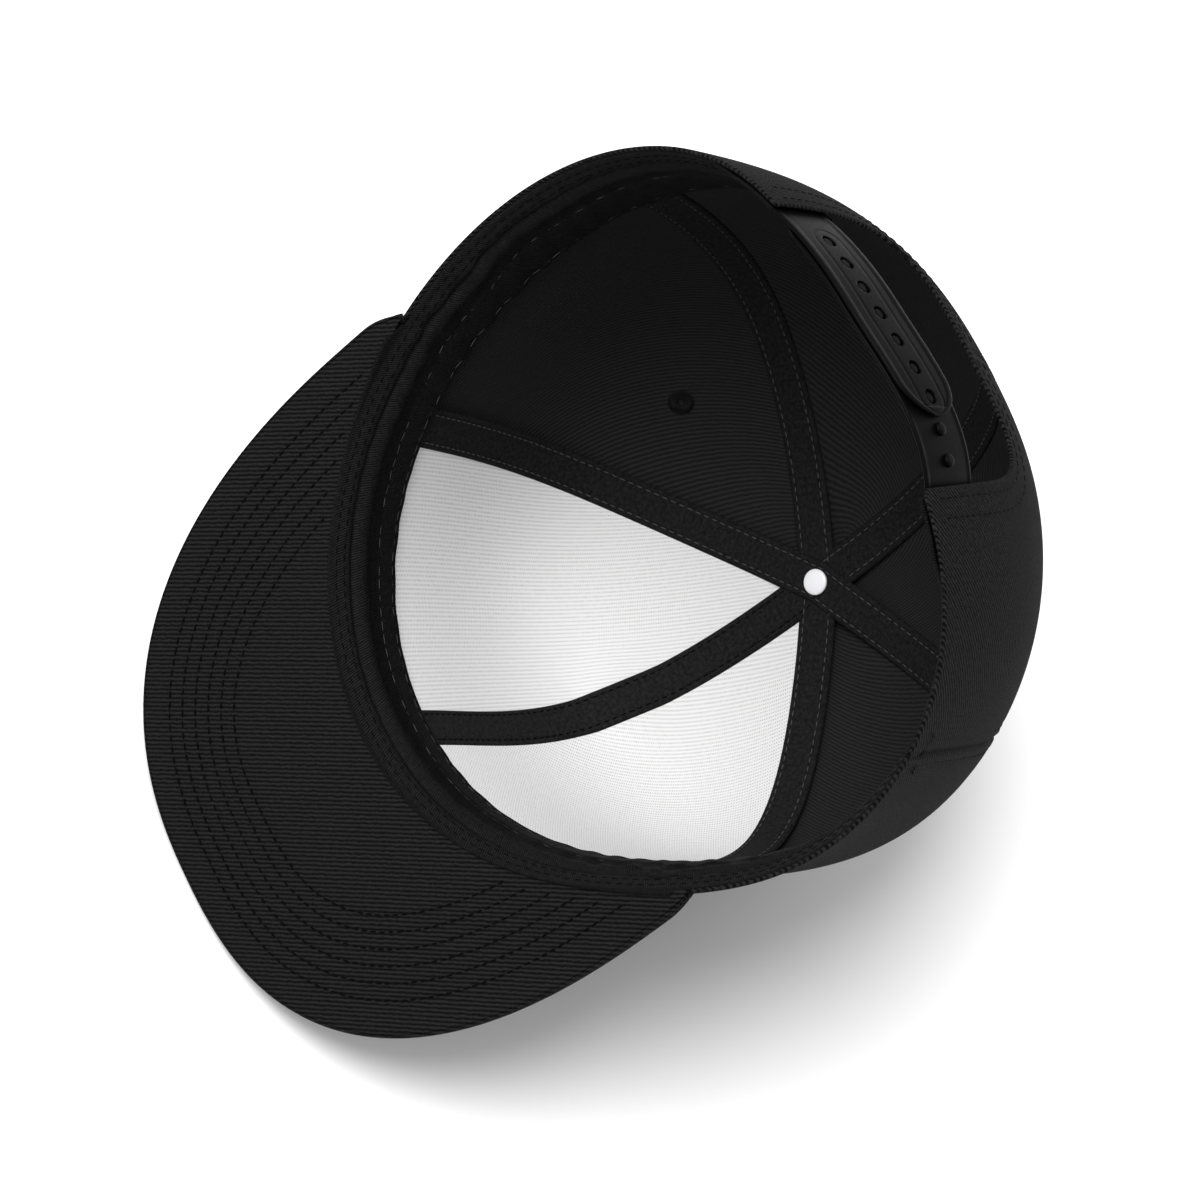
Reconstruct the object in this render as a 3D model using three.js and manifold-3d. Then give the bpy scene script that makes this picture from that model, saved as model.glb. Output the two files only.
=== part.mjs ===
// Hip-hop cap: a six panel cap with a flat peak and a snap strap, lying upside down on the front
// of its crown and the tip of its peak.
// Millimetres. The cap is drawn as it is worn, with +Y towards the peak, +Z up to the button and
// +X to the wearer's right, and the last group lays it down with +Z up from the floor.
import * as THREE from 'three';
import { mergeVertices } from 'three/addons/utils/BufferGeometryUtils.js';
import Module from 'manifold-3d';

const wasm = await Module();
wasm.setup();

// Crown: four sections round the head. Reach is the rim's distance from the axis, rim its height,
// lean how far the wall leans out above it, wall the share of the height that stays upright, and
// top the width of the flat top as a share of the reach.
const sections = [
  { place: 'front', reach: 102.7, rim: 1.9, lean: -14.1, wall: 0.35, top: 1.11 },
  { place: 'front of the ear', reach: 92.8, rim: -0.9, lean: -14.5, wall: 0.44, top: 1.21 },
  { place: 'behind the ear', reach: 96.8, rim: 2.7, lean: -6.8, wall: 0.6, top: 0.86 },
  { place: 'back', reach: 84.6, rim: -11.7, lean: 20.8, wall: 0.67, top: 0.71 },
];
const crownHeight = 121;
const apexForward = 18.5;
const lyingTilt = 45.35;
const flattenedBy = 1.6;

// Seams, in degrees from the front
const frontSideSeam = 52.3;
const sideBackSeam = 111.3;
const backSeam = 180;

// Back opening and strap
const archHalfAngle = 28.1;
const archHeight = 56;
const archSquareness = 6.3;
const archTaper = 4;
const strapWidth = 21;
const strapMiddle = 13;
const strapSkew = 2;
const strapBulge = 1.8;
const strapSpring = 2.4;
const springReach = 1.2;
const strapTab = 7;
const studPitch = 8.4;
const studCount = 9;
const holeCount = 7;
const firstStud = 9.4;
const studRadius = 1.7;
const holeRadius = 2.1;

// Peak
const peak = {
  length: 72.4, halfWidth: 91, squareness: 2.42, widestAt: 43.4, returnDepth: 41.6,
  rise: 0.037, droop: 2.2, thickness: 3.6, outlineTurn: 106, joinTurn: 68.5,
};

// Cloth: how deep each layer lies below the outside of the crown, to its outer and inner face
const gap = 0.3;
const rowCount = 13;
const layers = {
  panel: { outer: 0, inner: 1.2 },
  backing: { outer: 1.5, inner: 2.5 },
  backTape: { outer: 2, inner: 3 },
  frontTape: { outer: 3.1, inner: 4.1 },
  sweatbandFoot: { outer: 1.7, inner: 2.9 },
  sweatbandEnd: { outer: 3.4, inner: 4.6 },
  sweatband: { outer: 5.2, inner: 6.4 },
  outerStrap: { outer: 1.8, inner: 3.1 },
  innerStrap: { outer: 3.4, inner: 4.7 },
};
const tapeWidth = 11.5;
const tapeFoot = 8;
const tapeClimb = 40;
const sweatbandHeight = 27;
const sweatbandFrontDrop = 6;

// Trim
const buttonRadius = 7;
const buttonHeight = 5;
const rivetRadius = 3.65;
const shankRadius = 1.3;
const apexHole = 1.8;
const eyelet = { azimuth: 80, length: 0.7, outer: 4, hole: 1.2, proud: 0.6 };

const degrees = Math.PI / 180;

// Materials, as the photograph shows them
const twill = { color: 0x17171a, roughness: 0.92, metalness: 0 };
const finishes = {
  twill,
  buckram: { color: 0xd9d9d6, roughness: 0.95, metalness: 0 },
  tape: { color: 0x1c1c1f, roughness: 0.9, metalness: 0 },
  sweatband: { color: 0x131315, roughness: 0.8, metalness: 0 },
  plastic: { color: 0x101012, roughness: 0.35, metalness: 0 },
  thread: { color: 0x141416, roughness: 0.85, metalness: 0 },
  rivet: { color: 0xe8e8ea, roughness: 0.25, metalness: 0.9 },
};

/** A size of the sections, smoothly carried round the head as an even cosine series. */
function around(size) {
  const [front, side, rear, back] = sections.map((section) => section[size]);
  const mean = (front + 2 * side + 2 * rear + back) / 6;
  const once = (front + side - rear - back) / 3;
  const twice = (front - side - rear + back) / 3;
  const thrice = (front - 2 * side + 2 * rear - back) / 6;
  return (azimuth) => mean + once * Math.cos(azimuth) + twice * Math.cos(2 * azimuth)
    + thrice * Math.cos(3 * azimuth);
}
const reachAt = around('reach');
const rimAt = around('rim');
const leanAt = around('lean');
const wallAt = around('wall');
const topAt = around('top');

/** A point on the outside of the crown: share 0 is the rim and 1 the apex. */
function bareCrown(azimuth, share) {
  const rest = 1 - share;
  const [b0, b1, b2, b3] = [rest ** 3, 3 * share * rest ** 2, 3 * share ** 2 * rest, share ** 3];
  const reach = reachAt(azimuth);
  const rim = rimAt(azimuth);
  const shoulder = rim + wallAt(azimuth) * (crownHeight - rim);
  const radius = b0 * reach + b1 * (reach + leanAt(azimuth)) + b2 * topAt(azimuth) * reach;
  const forward = (0.8 * b2 + b3) * apexForward;
  const height = b0 * rim + b1 * shoulder + (b2 + b3) * crownHeight;
  return new THREE.Vector3(
    radius * Math.sin(azimuth), radius * Math.cos(azimuth) + forward, height,
  );
}

/** The direction straight out of the crown's outside. */
function crownNormal(azimuth, share) {
  const step = 1e-3;
  const near = Math.min(share, 0.985);
  const across = bareCrown(azimuth + step, near).sub(bareCrown(azimuth - step, near));
  const up = bareCrown(azimuth, near + step).sub(bareCrown(azimuth, near - step));
  return up.cross(across).normalize();
}

// Floor, seen from the worn cap: the way down, and how far down it lies
const down = new THREE.Vector3(0, Math.sin(lyingTilt * degrees), Math.cos(lyingTilt * degrees));
const crownReach = Math.max(
  ...Array.from({ length: 201 }, (_, i) => bareCrown(0, i / 200).dot(down)),
);
const floorDepth = crownReach - flattenedBy;

/** A point at a depth below the crown's outside, pressed flat where the crown lies on the floor. */
function crown(azimuth, share, depth) {
  const point = bareCrown(azimuth, share).addScaledVector(crownNormal(azimuth, share), -depth);
  const sunk = point.dot(down) - (floorDepth - depth);
  return sunk > 0 ? point.addScaledVector(down, -sunk) : point;
}

/** The share of the way to the apex that lies at a length of cloth above the rim. */
function shareAt(azimuth, length) {
  const steps = 80;
  let walked = 0;
  let last = bareCrown(azimuth, 0);
  for (let i = 1; i <= steps; i += 1) {
    const next = bareCrown(azimuth, i / steps);
    const step = next.distanceTo(last);
    if (walked + step >= length) return (i - 1 + (length - walked) / step) / steps;
    walked += step;
    last = next;
  }
  return 1;
}

/** The length of cloth from the rim to the apex. */
function clothLength(azimuth) {
  const steps = 80;
  let walked = 0;
  for (let i = 1; i <= steps; i += 1) {
    walked += bareCrown(azimuth, i / steps).distanceTo(bareCrown(azimuth, (i - 1) / steps));
  }
  return walked;
}

/** A closed solid through loops of points, whose first half runs out and second half back. */
function loft(loops) {
  const count = loops[0].length;
  const corners = [];
  const quad = (a, b, c, d) => corners.push(a, b, c, a, c, d);
  // The way back is split along the other diagonal, so that both faces of a layer crease alike.
  const quadBack = (a, b, c, d) => corners.push(a, b, d, b, c, d);
  for (let i = 0; i + 1 < loops.length; i += 1) {
    for (let k = 0; k < count; k += 1) {
      const next = (k + 1) % count;
      const split = k < count / 2 ? quad : quadBack;
      split(i * count + k, i * count + next, (i + 1) * count + next, (i + 1) * count + k);
    }
  }
  const end = (loops.length - 1) * count;
  for (let k = 0; k + 1 < count / 2; k += 1) {
    const partner = count - 1 - k;
    quad(k, partner, partner - 1, k + 1);
    quad(end + k, end + k + 1, end + partner - 1, end + partner);
  }
  return facingOut(loops.flat(), corners);
}

/** A geometry from points and corners, turned so that its faces point out. */
function facingOut(points, corners) {
  let volume = 0;
  for (let i = 0; i < corners.length; i += 3) {
    const [a, b, c] = [points[corners[i]], points[corners[i + 1]], points[corners[i + 2]]];
    volume += a.dot(b.clone().cross(c));
  }
  const geometry = new THREE.BufferGeometry();
  const values = points.flatMap((point) => point.toArray());
  geometry.setAttribute('position', new THREE.Float32BufferAttribute(values, 3));
  geometry.setIndex(volume < 0 ? corners.reverse() : corners);
  return geometry;
}

/** A solid for cutting and joining. */
function solidOf(geometry) {
  const bare = geometry.clone();
  bare.deleteAttribute('normal');
  bare.deleteAttribute('uv');
  const merged = mergeVertices(bare, 1e-5);
  return new wasm.Manifold(new wasm.Mesh({
    numProp: 3,
    vertProperties: new Float32Array(merged.attributes.position.array),
    triVerts: new Uint32Array(merged.index.array),
  }));
}

/** The geometry of a cut or joined solid. */
function geometryOf(solid) {
  const mesh = solid.getMesh();
  const geometry = new THREE.BufferGeometry();
  geometry.setAttribute('position', new THREE.BufferAttribute(mesh.vertProperties, 3));
  geometry.setIndex(new THREE.BufferAttribute(mesh.triVerts, 1));
  return geometry;
}

const cut = (geometry, ...tools) => geometryOf(
  tools.reduce((solid, tool) => solid.subtract(solidOf(tool)), solidOf(geometry)),
);
const join = (geometry, ...pieces) => geometryOf(
  pieces.reduce((solid, piece) => solid.add(solidOf(piece)), solidOf(geometry)),
);

/** A turned geometry, moved from the Z axis to stand at a point along a direction. */
function stand(geometry, point, direction) {
  const turn = new THREE.Quaternion().setFromUnitVectors(new THREE.Vector3(0, 0, 1), direction);
  return geometry.applyQuaternion(turn).translate(point.x, point.y, point.z);
}

/** A round piece turned from [radius, height] points. */
function turned(profile, sides) {
  return new THREE.LatheGeometry(profile.map(([radius, height]) => (
    new THREE.Vector2(radius, height)
  )), sides).rotateX(Math.PI / 2);
}

/** A loop of cloth between two depths, along a path of [azimuth, share] from foot to head. */
function clothLoop(path, { outer, inner }) {
  const outside = path.map(([azimuth, share]) => crown(azimuth, share, outer));
  const inside = path.map(([azimuth, share]) => crown(azimuth, share, inner));
  return [...outside, ...inside.reverse()];
}

/** The feet of a panel's columns, as [azimuth, length above the rim]. */
function rimFeet(from, to, columns) {
  return Array.from({ length: columns + 1 }, (_, i) => [from + ((to - from) * i) / columns, 0]);
}

/** The feet up one side of the back opening and along its top to the back seam. */
function archFeet(steps) {
  return Array.from({ length: steps }, (_, i) => {
    const turn = (90 * (i + 1) * degrees) / steps;
    const [aside, up] = [Math.max(Math.cos(turn), 0), Math.sin(turn)];
    const shrink = (aside ** archSquareness + up ** archSquareness) ** (1 / archSquareness);
    const half = archHalfAngle - (archTaper * up) / shrink;
    return [backSeam - (half * aside) / shrink, (archHeight * up) / shrink];
  });
}

/** A panel of cloth from its feet up to the hole under the button, for one side of the cap. */
function panel(feet, side, layer, firstRow = 0) {
  const last = feet.length - 1;
  const loops = feet.map(([foot, length], i) => {
    const head = feet[0][0] + ((feet[last][0] - feet[0][0]) * i) / last;
    const path = [];
    for (let row = firstRow; row <= rowCount; row += 1) {
      const up = row / rowCount;
      const azimuth = (foot + (head - foot) * up) * degrees;
      const top = clothLength(azimuth) - apexHole;
      const share = shareAt(azimuth, length + (top - length) * up);
      const radius = bareCrown(azimuth, share).setZ(0).sub(new THREE.Vector3(0, apexForward, 0));
      const inset = (i === 0) - (i === last);
      const drawn = azimuth + inset * Math.min(gap / 2 / radius.length(), 0.2);
      path.push([side * drawn, share]);
    }
    return clothLoop(path, layer);
  });
  return loft(loops);
}

/** Stations up a seam, on the panels' rows and at the apex, with the way out and a tape's depth. */
function seamStations(azimuthDegrees, foot, depth) {
  const azimuth = azimuthDegrees * degrees;
  const total = clothLength(azimuth);
  const rows = Array.from({ length: rowCount + 1 }, (_, i) => ((total - apexHole) * i) / rowCount);
  const lengths = [foot, ...rows.filter((length) => length > foot + 1), total];
  return lengths.map((length) => {
    const share = shareAt(azimuth, length);
    return { azimuth, share, out: crownNormal(azimuth, share), depth: depth(total - length) };
  });
}

/** A tape through stations, as a flat band of a width with an outer and inner face. */
function tape(stations, width, grow = 0) {
  const loops = stations.map((station, i) => {
    const before = stations[Math.max(i - 1, 0)];
    const after = stations[Math.min(i + 1, stations.length - 1)];
    const run = bareCrown(after.azimuth, after.share)
      .sub(bareCrown(before.azimuth, before.share));
    const across = run.cross(station.out).normalize();
    const half = width / 2 + grow;
    const outer = crown(station.azimuth, station.share, station.depth.outer - grow);
    const inner = crown(station.azimuth, station.share, station.depth.inner + grow);
    return [
      outer.clone().addScaledVector(across, -half), outer.clone().addScaledVector(across, half),
      inner.clone().addScaledVector(across, half), inner.clone().addScaledVector(across, -half),
    ];
  });
  return loft(loops);
}

/** A tape's depth where it climbs from the back layers over the crossing under the rivet. */
function climbing(fromApex) {
  const near = Math.min(Math.max(1 - fromApex / tapeClimb, 0), 1);
  const mix = (low, high) => low + (high - low) * near;
  return {
    outer: mix(layers.backTape.outer, layers.frontTape.outer),
    inner: mix(layers.backTape.inner, layers.frontTape.inner),
  };
}
const level = () => layers.frontTape;

/** The peak's underside at a place in plan. */
function peakUnderside(x, y) {
  return sections[0].rim + peak.rise * (y - sections[0].reach)
    - peak.droop * (x / peak.halfWidth) ** 2;
}

/** The peak's outline in plan: turn 0 is the tip, and past 90 degrees it runs back to the rim. */
function peakOutline(turnDegrees) {
  const turn = Math.abs(turnDegrees) * degrees;
  const power = turn < Math.PI / 2 ? 2 / peak.squareness : 1;
  const forward = turn < Math.PI / 2
    ? (sections[0].reach + peak.length - peak.widestAt) * Math.cos(turn) ** power
    : peak.returnDepth * Math.cos(turn);
  const x = peak.halfWidth * Math.sin(turn) ** power;
  return new THREE.Vector2(Math.sign(turnDegrees) * x, peak.widestAt + forward);
}

/** A section across the peak from the rim to its edge, through [share, back from edge, height]. */
function peakLoop(along, profile) {
  const join = along * peak.joinTurn * degrees;
  const reach = reachAt(join) + gap;
  const inner = new THREE.Vector2(reach * Math.sin(join), reach * Math.cos(join));
  const outer = peakOutline(along * peak.outlineTurn);
  const width = outer.distanceTo(inner);
  const scale = Math.min(1, width / 8);
  return profile.map(([share, back, height]) => {
    const place = inner.clone().lerp(outer, share - (share * back * scale) / width);
    return new THREE.Vector3(place.x, place.y, peakUnderside(place.x, place.y) + height);
  });
}

/** A cover of the peak, from one end of its join to the other. */
function peakCover(profile) {
  const columns = 26;
  const loops = Array.from({ length: columns + 1 }, (_, i) => (
    peakLoop((2 * i) / columns - 1, profile)
  ));
  return loft(loops);
}

const peakTop = peak.thickness;
const upperProfile = [
  [0, 0, peakTop], [0.5, 0, peakTop], [1, 1.2, peakTop], [1, 0.35, peakTop - 0.6],
  [1, 0, peakTop / 2], [1, 0.35, 0.6], [1, 1.2, 0],
  [1, 2.4, 0], [1, 2.4, 0.7], [1, 2.5, 1.2], [1, 2.7, 1.5], [1, 3.2, 1.6], [0.5, 0, 1.6],
  [0, 0, 1.6],
];
const lowerProfile = [
  [0, 0, 0], [0.5, 0, 0], [1, 2.7, 0], [1, 2.75, 0.7],
  [1, 3.1, 1.1], [1, 3.7, 1.3], [0.5, 0, 1.3], [0, 0, 1.3],
];

/** How far the strap springs out past the corner that it leaves, at most its full spring. */
function spring(side) {
  const along = Math.min(Math.max((side + 1) / springReach, 0), 1);
  return 6.75 * strapSpring * along * (1 - along) ** 2;
}

/** A point of the strap: azimuth in degrees, height from its middle line, depth below the crown. */
function strapPoint(azimuthDegrees, height, depth) {
  const side = (azimuthDegrees - backSeam) / archHalfAngle;
  const bow = Math.max(Math.cos(Math.min(Math.abs(side), 1) * Math.PI / 2), 0);
  const free = strapBulge * bow + spring(side);
  const azimuth = azimuthDegrees * degrees;
  const length = strapMiddle - strapSkew * Math.max(Math.min(side, 1), -1) + height;
  return crown(azimuth, shareAt(azimuth, length), depth - free);
}

/** The strap's azimuth in degrees at a length from the wearer's right corner of the opening. */
function strapAzimuth(length) {
  const start = backSeam - archHalfAngle;
  const steps = 200;
  let walked = 0;
  for (let i = 0; i < steps; i += 1) {
    const here = start + (2 * archHalfAngle * i) / steps;
    const next = start + (2 * archHalfAngle * (i + 1)) / steps;
    if (walked >= length) return here;
    walked += strapPoint(here, 0, 0).distanceTo(strapPoint(next, 0, 0));
  }
  return start + 2 * archHalfAngle;
}

/** A strap from an azimuth to its rounded tip, in degrees. */
function strapBand(root, tip, layer) {
  const columns = 22;
  const tipArc = strapWidth / 2 / reachAt(Math.PI) / degrees;
  const loops = Array.from({ length: columns + 1 }, (_, i) => {
    const along = 1 - (1 - i / columns) ** 2;
    const azimuth = root + (tip - root) * along;
    const left = Math.min(Math.abs(tip - azimuth) / tipArc, 1);
    const half = (strapWidth / 2) * Math.max(Math.sqrt(1 - (1 - left) ** 2), 0.25);
    const heights = [-half, 0, half];
    return [
      ...heights.map((height) => strapPoint(azimuth, height, layer.outer)),
      ...heights.reverse().map((height) => strapPoint(azimuth, height, layer.inner)),
    ];
  });
  return loft(loops);
}

/** The strap's way out at an azimuth in degrees. */
function strapOut(azimuthDegrees) {
  const low = strapPoint(azimuthDegrees, 0, 5);
  return strapPoint(azimuthDegrees, 0, 0).sub(low).normalize();
}

/** A place on the crown for a round piece: the point and the way out. */
function crownSeat(azimuthDegrees, share, depth) {
  const azimuth = azimuthDegrees * degrees;
  return [crown(azimuth, share, depth), crownNormal(azimuth, share)];
}

const cap = new THREE.Group();

/** Adds a named piece of the cap. */
function piece(name, geometry, finish) {
  const mesh = new THREE.Mesh(geometry, new THREE.MeshStandardMaterial(finishes[finish]));
  mesh.name = name;
  cap.add(mesh);
}

// Panels, with a hole for the eyelet in each side panel
const wearerSides = [{ side: 1, word: 'right' }, { side: -1, word: 'left' }];
const frontFeet = rimFeet(0, frontSideSeam, 7);
const sideFeet = rimFeet(frontSideSeam, sideBackSeam, 7);
const backFeet = [...rimFeet(sideBackSeam, backSeam - archHalfAngle, 5), ...archFeet(9)];

function eyeletRound(radius, from, to) {
  return turned([[0, from], [radius, from], [radius, to], [0, to]], 12);
}

for (const { side, word } of wearerSides) {
  const seat = crownSeat(side * eyelet.azimuth, eyelet.length, 0.6);
  const clear = stand(eyeletRound(eyelet.outer + gap, -4, 4), ...seat);
  const stitched = [
    [eyelet.hole, -0.6 - eyelet.proud], [eyelet.outer - 0.8, -0.6 - eyelet.proud],
    [eyelet.outer, -0.6], [eyelet.outer, 0.6], [eyelet.outer - 0.8, 0.6 + eyelet.proud],
    [eyelet.hole, 0.6 + eyelet.proud], [eyelet.hole, -0.6 - eyelet.proud],
  ];
  piece(`front_${word}_panel`, panel(frontFeet, side, layers.panel), 'twill');
  piece(`side_${word}_panel`, cut(panel(sideFeet, side, layers.panel), clear), 'twill');
  piece(`back_${word}_panel`, panel(backFeet, side, layers.panel), 'twill');
  piece(`front_${word}_backing`, panel(frontFeet, side, layers.backing, 1), 'buckram');
  piece(`${word}_eyelet`, stand(turned(stitched, 16), ...seat), 'thread');
}

// Seam tapes: one runs through under the rivet, and the others stop where they meet it
const throughStations = [
  ...seamStations(-frontSideSeam, tapeFoot, level),
  ...seamStations(sideBackSeam, tapeFoot, climbing).reverse().slice(1),
];
const tapeStations = {
  right_front_seam_tape: seamStations(frontSideSeam, tapeFoot, level),
  left_back_seam_tape: seamStations(-sideBackSeam, tapeFoot, climbing),
  front_seam_tape: seamStations(0, tapeFoot, level),
  back_seam_tape: seamStations(backSeam, archHeight + 1, climbing),
};
const [apexSeat, apexOut] = [crown(0, 1, 0), new THREE.Vector3(0, 0, 1)];
const shankClearance = stand(
  turned([[0, -8], [apexHole, -8], [apexHole, 4], [0, 4]], 12), apexSeat, apexOut,
);
piece('through_seam_tape', cut(tape(throughStations, tapeWidth), shankClearance), 'tape');
const cutters = [tape(throughStations, tapeWidth, gap)];
for (const [name, stations] of Object.entries(tapeStations)) {
  piece(name, cut(tape(stations, tapeWidth), ...cutters, shankClearance), 'tape');
  cutters.push(tape(stations, tapeWidth, gap));
}

// Sweatband, folded in at the rim and open at the back
function sweatbandLoop(azimuth) {
  const top = sweatbandHeight - sweatbandFrontDrop * Math.cos(azimuth);
  const overStrap = Math.abs(azimuth) > (backSeam - archHalfAngle - 2 * strapTab) * degrees;
  const foot = overStrap ? layers.sweatbandEnd : layers.sweatbandFoot;
  const body = layers.sweatband;
  const rows = [[0.6, foot], [5, body], [top / 2, body], [top, body]];
  const outside = rows.map(([length, layer]) => (
    crown(azimuth, shareAt(azimuth, length), layer.outer)
  ));
  const inside = rows.map(([length, layer]) => (
    crown(azimuth, shareAt(azimuth, length), layer.inner)
  ));
  return [...outside, ...inside.reverse()];
}
const sweatbandColumns = 44;
const sweatbandEnd = backSeam - archHalfAngle - 0.5;
piece('sweatband', loft(Array.from({ length: sweatbandColumns + 1 }, (_, i) => (
  sweatbandLoop(sweatbandEnd * ((2 * i) / sweatbandColumns - 1) * degrees)
))), 'sweatband');

// Peak
piece('peak_upper', peakCover(upperProfile), 'twill');
piece('peak_underside', peakCover(lowerProfile), 'twill');

// Snap strap: the outer half has the holes and comes from the wearer's left, the inner the studs
const studAzimuths = Array.from({ length: studCount }, (_, i) => (
  strapAzimuth(firstStud + i * studPitch)
));
const holed = studAzimuths.slice(studCount - holeCount);
const leftRoot = backSeam + archHalfAngle + strapTab;
const rightRoot = backSeam - archHalfAngle - strapTab;
const outerTip = strapAzimuth(firstStud + (studCount - holeCount) * studPitch - 5.2);
const innerTip = backSeam + archHalfAngle - 2;
const holes = holed.map((azimuth) => stand(
  turned([[0, -3], [holeRadius, -3], [holeRadius, 3], [0, 3]], 10),
  strapPoint(azimuth, 0, layers.outerStrap.outer), strapOut(azimuth),
));
piece('outer_strap', cut(strapBand(leftRoot, outerTip, layers.outerStrap), ...holes), 'plastic');
const studs = studAzimuths.map((azimuth) => stand(
  turned([
    [0, -0.5], [studRadius, -0.5], [studRadius, 1.7], [studRadius * 0.7, 2.1], [0, 2.2],
  ], 10),
  strapPoint(azimuth, 0, layers.innerStrap.outer), strapOut(azimuth),
));
piece('inner_strap', join(strapBand(rightRoot, innerTip, layers.innerStrap), ...studs), 'plastic');

// Button outside and rivet inside, whose shank passes through the cloth into the button
const buttonSeat = gap;
const socketDepth = 2.5;
piece('button', stand(turned([
  [shankRadius + gap, buttonSeat], [buttonRadius - 0.6, buttonSeat],
  [buttonRadius, buttonSeat + 1], [buttonRadius * 0.86, buttonSeat + buttonHeight * 0.62],
  [buttonRadius * 0.5, buttonSeat + buttonHeight * 0.92], [0, buttonSeat + buttonHeight],
  [0, buttonSeat + socketDepth], [shankRadius + gap, buttonSeat + socketDepth],
  [shankRadius + gap, buttonSeat],
], 16), apexSeat, apexOut), 'twill');
const rivetSeat = -(layers.frontTape.inner + gap);
piece('rivet', stand(turned([
  [0, rivetSeat - 1.5], [rivetRadius * 0.6, rivetSeat - 1.3], [rivetRadius, rivetSeat - 0.7],
  [rivetRadius, rivetSeat], [shankRadius, rivetSeat], [shankRadius, buttonSeat + socketDepth - gap],
  [0, buttonSeat + socketDepth - gap],
], 16), apexSeat, apexOut), 'rivet');

// Laid down: turned over, tipped forward on to the peak's tip, and centred on the floor
const laid = new THREE.Group();
laid.add(cap);
laid.rotation.x = Math.PI + lyingTilt * degrees;
laid.updateMatrixWorld(true);
const box = new THREE.Box3().setFromObject(laid, true);
laid.position.set(-(box.min.x + box.max.x) / 2, -(box.min.y + box.max.y) / 2, floorDepth);

const part = new THREE.Group();
part.add(laid);
part.updateMatrixWorld(true);

export default part;
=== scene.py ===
# %% [markdown]
# # A six panel cap, lying upside down
# The cap is black twill, sewn from six panels, with a flat peak, a white stiffened front, a folded
# sweatband and a snap strap. This lesson dresses a packed construction model: every sewn piece is
# modelled again with its hems, folds and stitches, exactly where the construction piece lies.

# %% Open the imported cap
from math import cos, pi, radians, sin

import bmesh
import bpy
import numpy as np
from mathutils import Matrix, Vector


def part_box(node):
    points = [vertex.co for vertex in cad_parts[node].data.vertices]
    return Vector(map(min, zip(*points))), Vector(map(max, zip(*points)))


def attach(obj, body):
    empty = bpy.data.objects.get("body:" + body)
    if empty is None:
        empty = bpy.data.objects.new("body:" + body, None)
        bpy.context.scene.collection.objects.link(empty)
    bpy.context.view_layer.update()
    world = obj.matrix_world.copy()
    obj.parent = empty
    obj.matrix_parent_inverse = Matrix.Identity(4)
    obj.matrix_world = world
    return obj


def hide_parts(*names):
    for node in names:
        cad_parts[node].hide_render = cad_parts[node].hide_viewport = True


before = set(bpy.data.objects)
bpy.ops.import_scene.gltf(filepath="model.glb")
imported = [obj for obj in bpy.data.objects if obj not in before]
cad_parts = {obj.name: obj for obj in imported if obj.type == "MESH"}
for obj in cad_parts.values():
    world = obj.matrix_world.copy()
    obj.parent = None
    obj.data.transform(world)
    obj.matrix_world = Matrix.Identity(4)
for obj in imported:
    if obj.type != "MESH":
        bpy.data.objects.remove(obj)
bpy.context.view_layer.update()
print("the packed cap has", len(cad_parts), "pieces")

# %% [markdown]
# ## The shape of the crown
# Four sections round the head say what a cap looks like: how far out the rim is, how high it sits,
# how the wall leans and how wide the top is.
# A cosine series carries each size smoothly round the head, and a Bezier curve runs from the rim
# to the button. Three swells push the lower wall out of round, as soft cloth does. All sizes are
# millimetres of the worn cap: +Y is the peak, +Z the button.

# %% Sizes of the crown
SECTIONS = {
    # size: front, front of the ear, behind the ear, back
    "reach": (102.7, 92.8, 96.8, 84.6),
    "rim": (1.9, -0.9, 2.7, -11.7),
    "lean": (-14.1, -14.5, -6.8, 20.8),
    "wall": (0.35, 0.44, 0.6, 0.67),
    "top": (1.11, 1.21, 0.86, 0.71),
}
CROWN_HEIGHT = 121
APEX_FORWARD = 18.5
TOP_FORWARD = 0.8 * APEX_FORWARD
LYING_TILT = radians(45.35)
FLATTENED_BY = 1.6
PRESSED_ROUND = 0.3
SWELLS = (
    # how far out, and the middle and the width in degrees round the head
    (4.0, 86, 25),
    (2.5, -145, 24),
    (-1.4, 178, 14),
)
FRONT_SIDE_SEAM = 52.3
SIDE_BACK_SEAM = 111.3
BACK_SEAM = 180
ARCH_HALF_ANGLE = 28.1
ARCH_HEIGHT = 56
ARCH_SQUARENESS = 6.3
ARCH_TAPER = 4


# %% The crown as a function
def around(size):
    """Carries a size of the sections round the head, as an even cosine series."""
    front, side, rear, back = SECTIONS[size]
    waves = (
        (front + 2 * side + 2 * rear + back) / 6,
        (front + side - rear - back) / 3,
        (front - side - rear + back) / 3,
        (front - 2 * side + 2 * rear - back) / 6,
    )
    return lambda azimuth: sum(wave * np.cos(k * azimuth) for k, wave in enumerate(waves))


reach_at, rim_at, lean_at, wall_at, top_at = (around(size) for size in SECTIONS)


def hump(off, width):
    """A smooth hump: 1 in its middle and nearly nothing from twice its width."""
    return np.exp(-((off / width) ** 2))


def rim_swell(azimuth):
    """How far the lower wall is pushed out of round."""
    swell = 0
    for outward, middle, width in SWELLS:
        away = (np.degrees(azimuth) - middle + 180) % 360 - 180
        swell = swell + outward * hump(away, width)
    return swell


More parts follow.
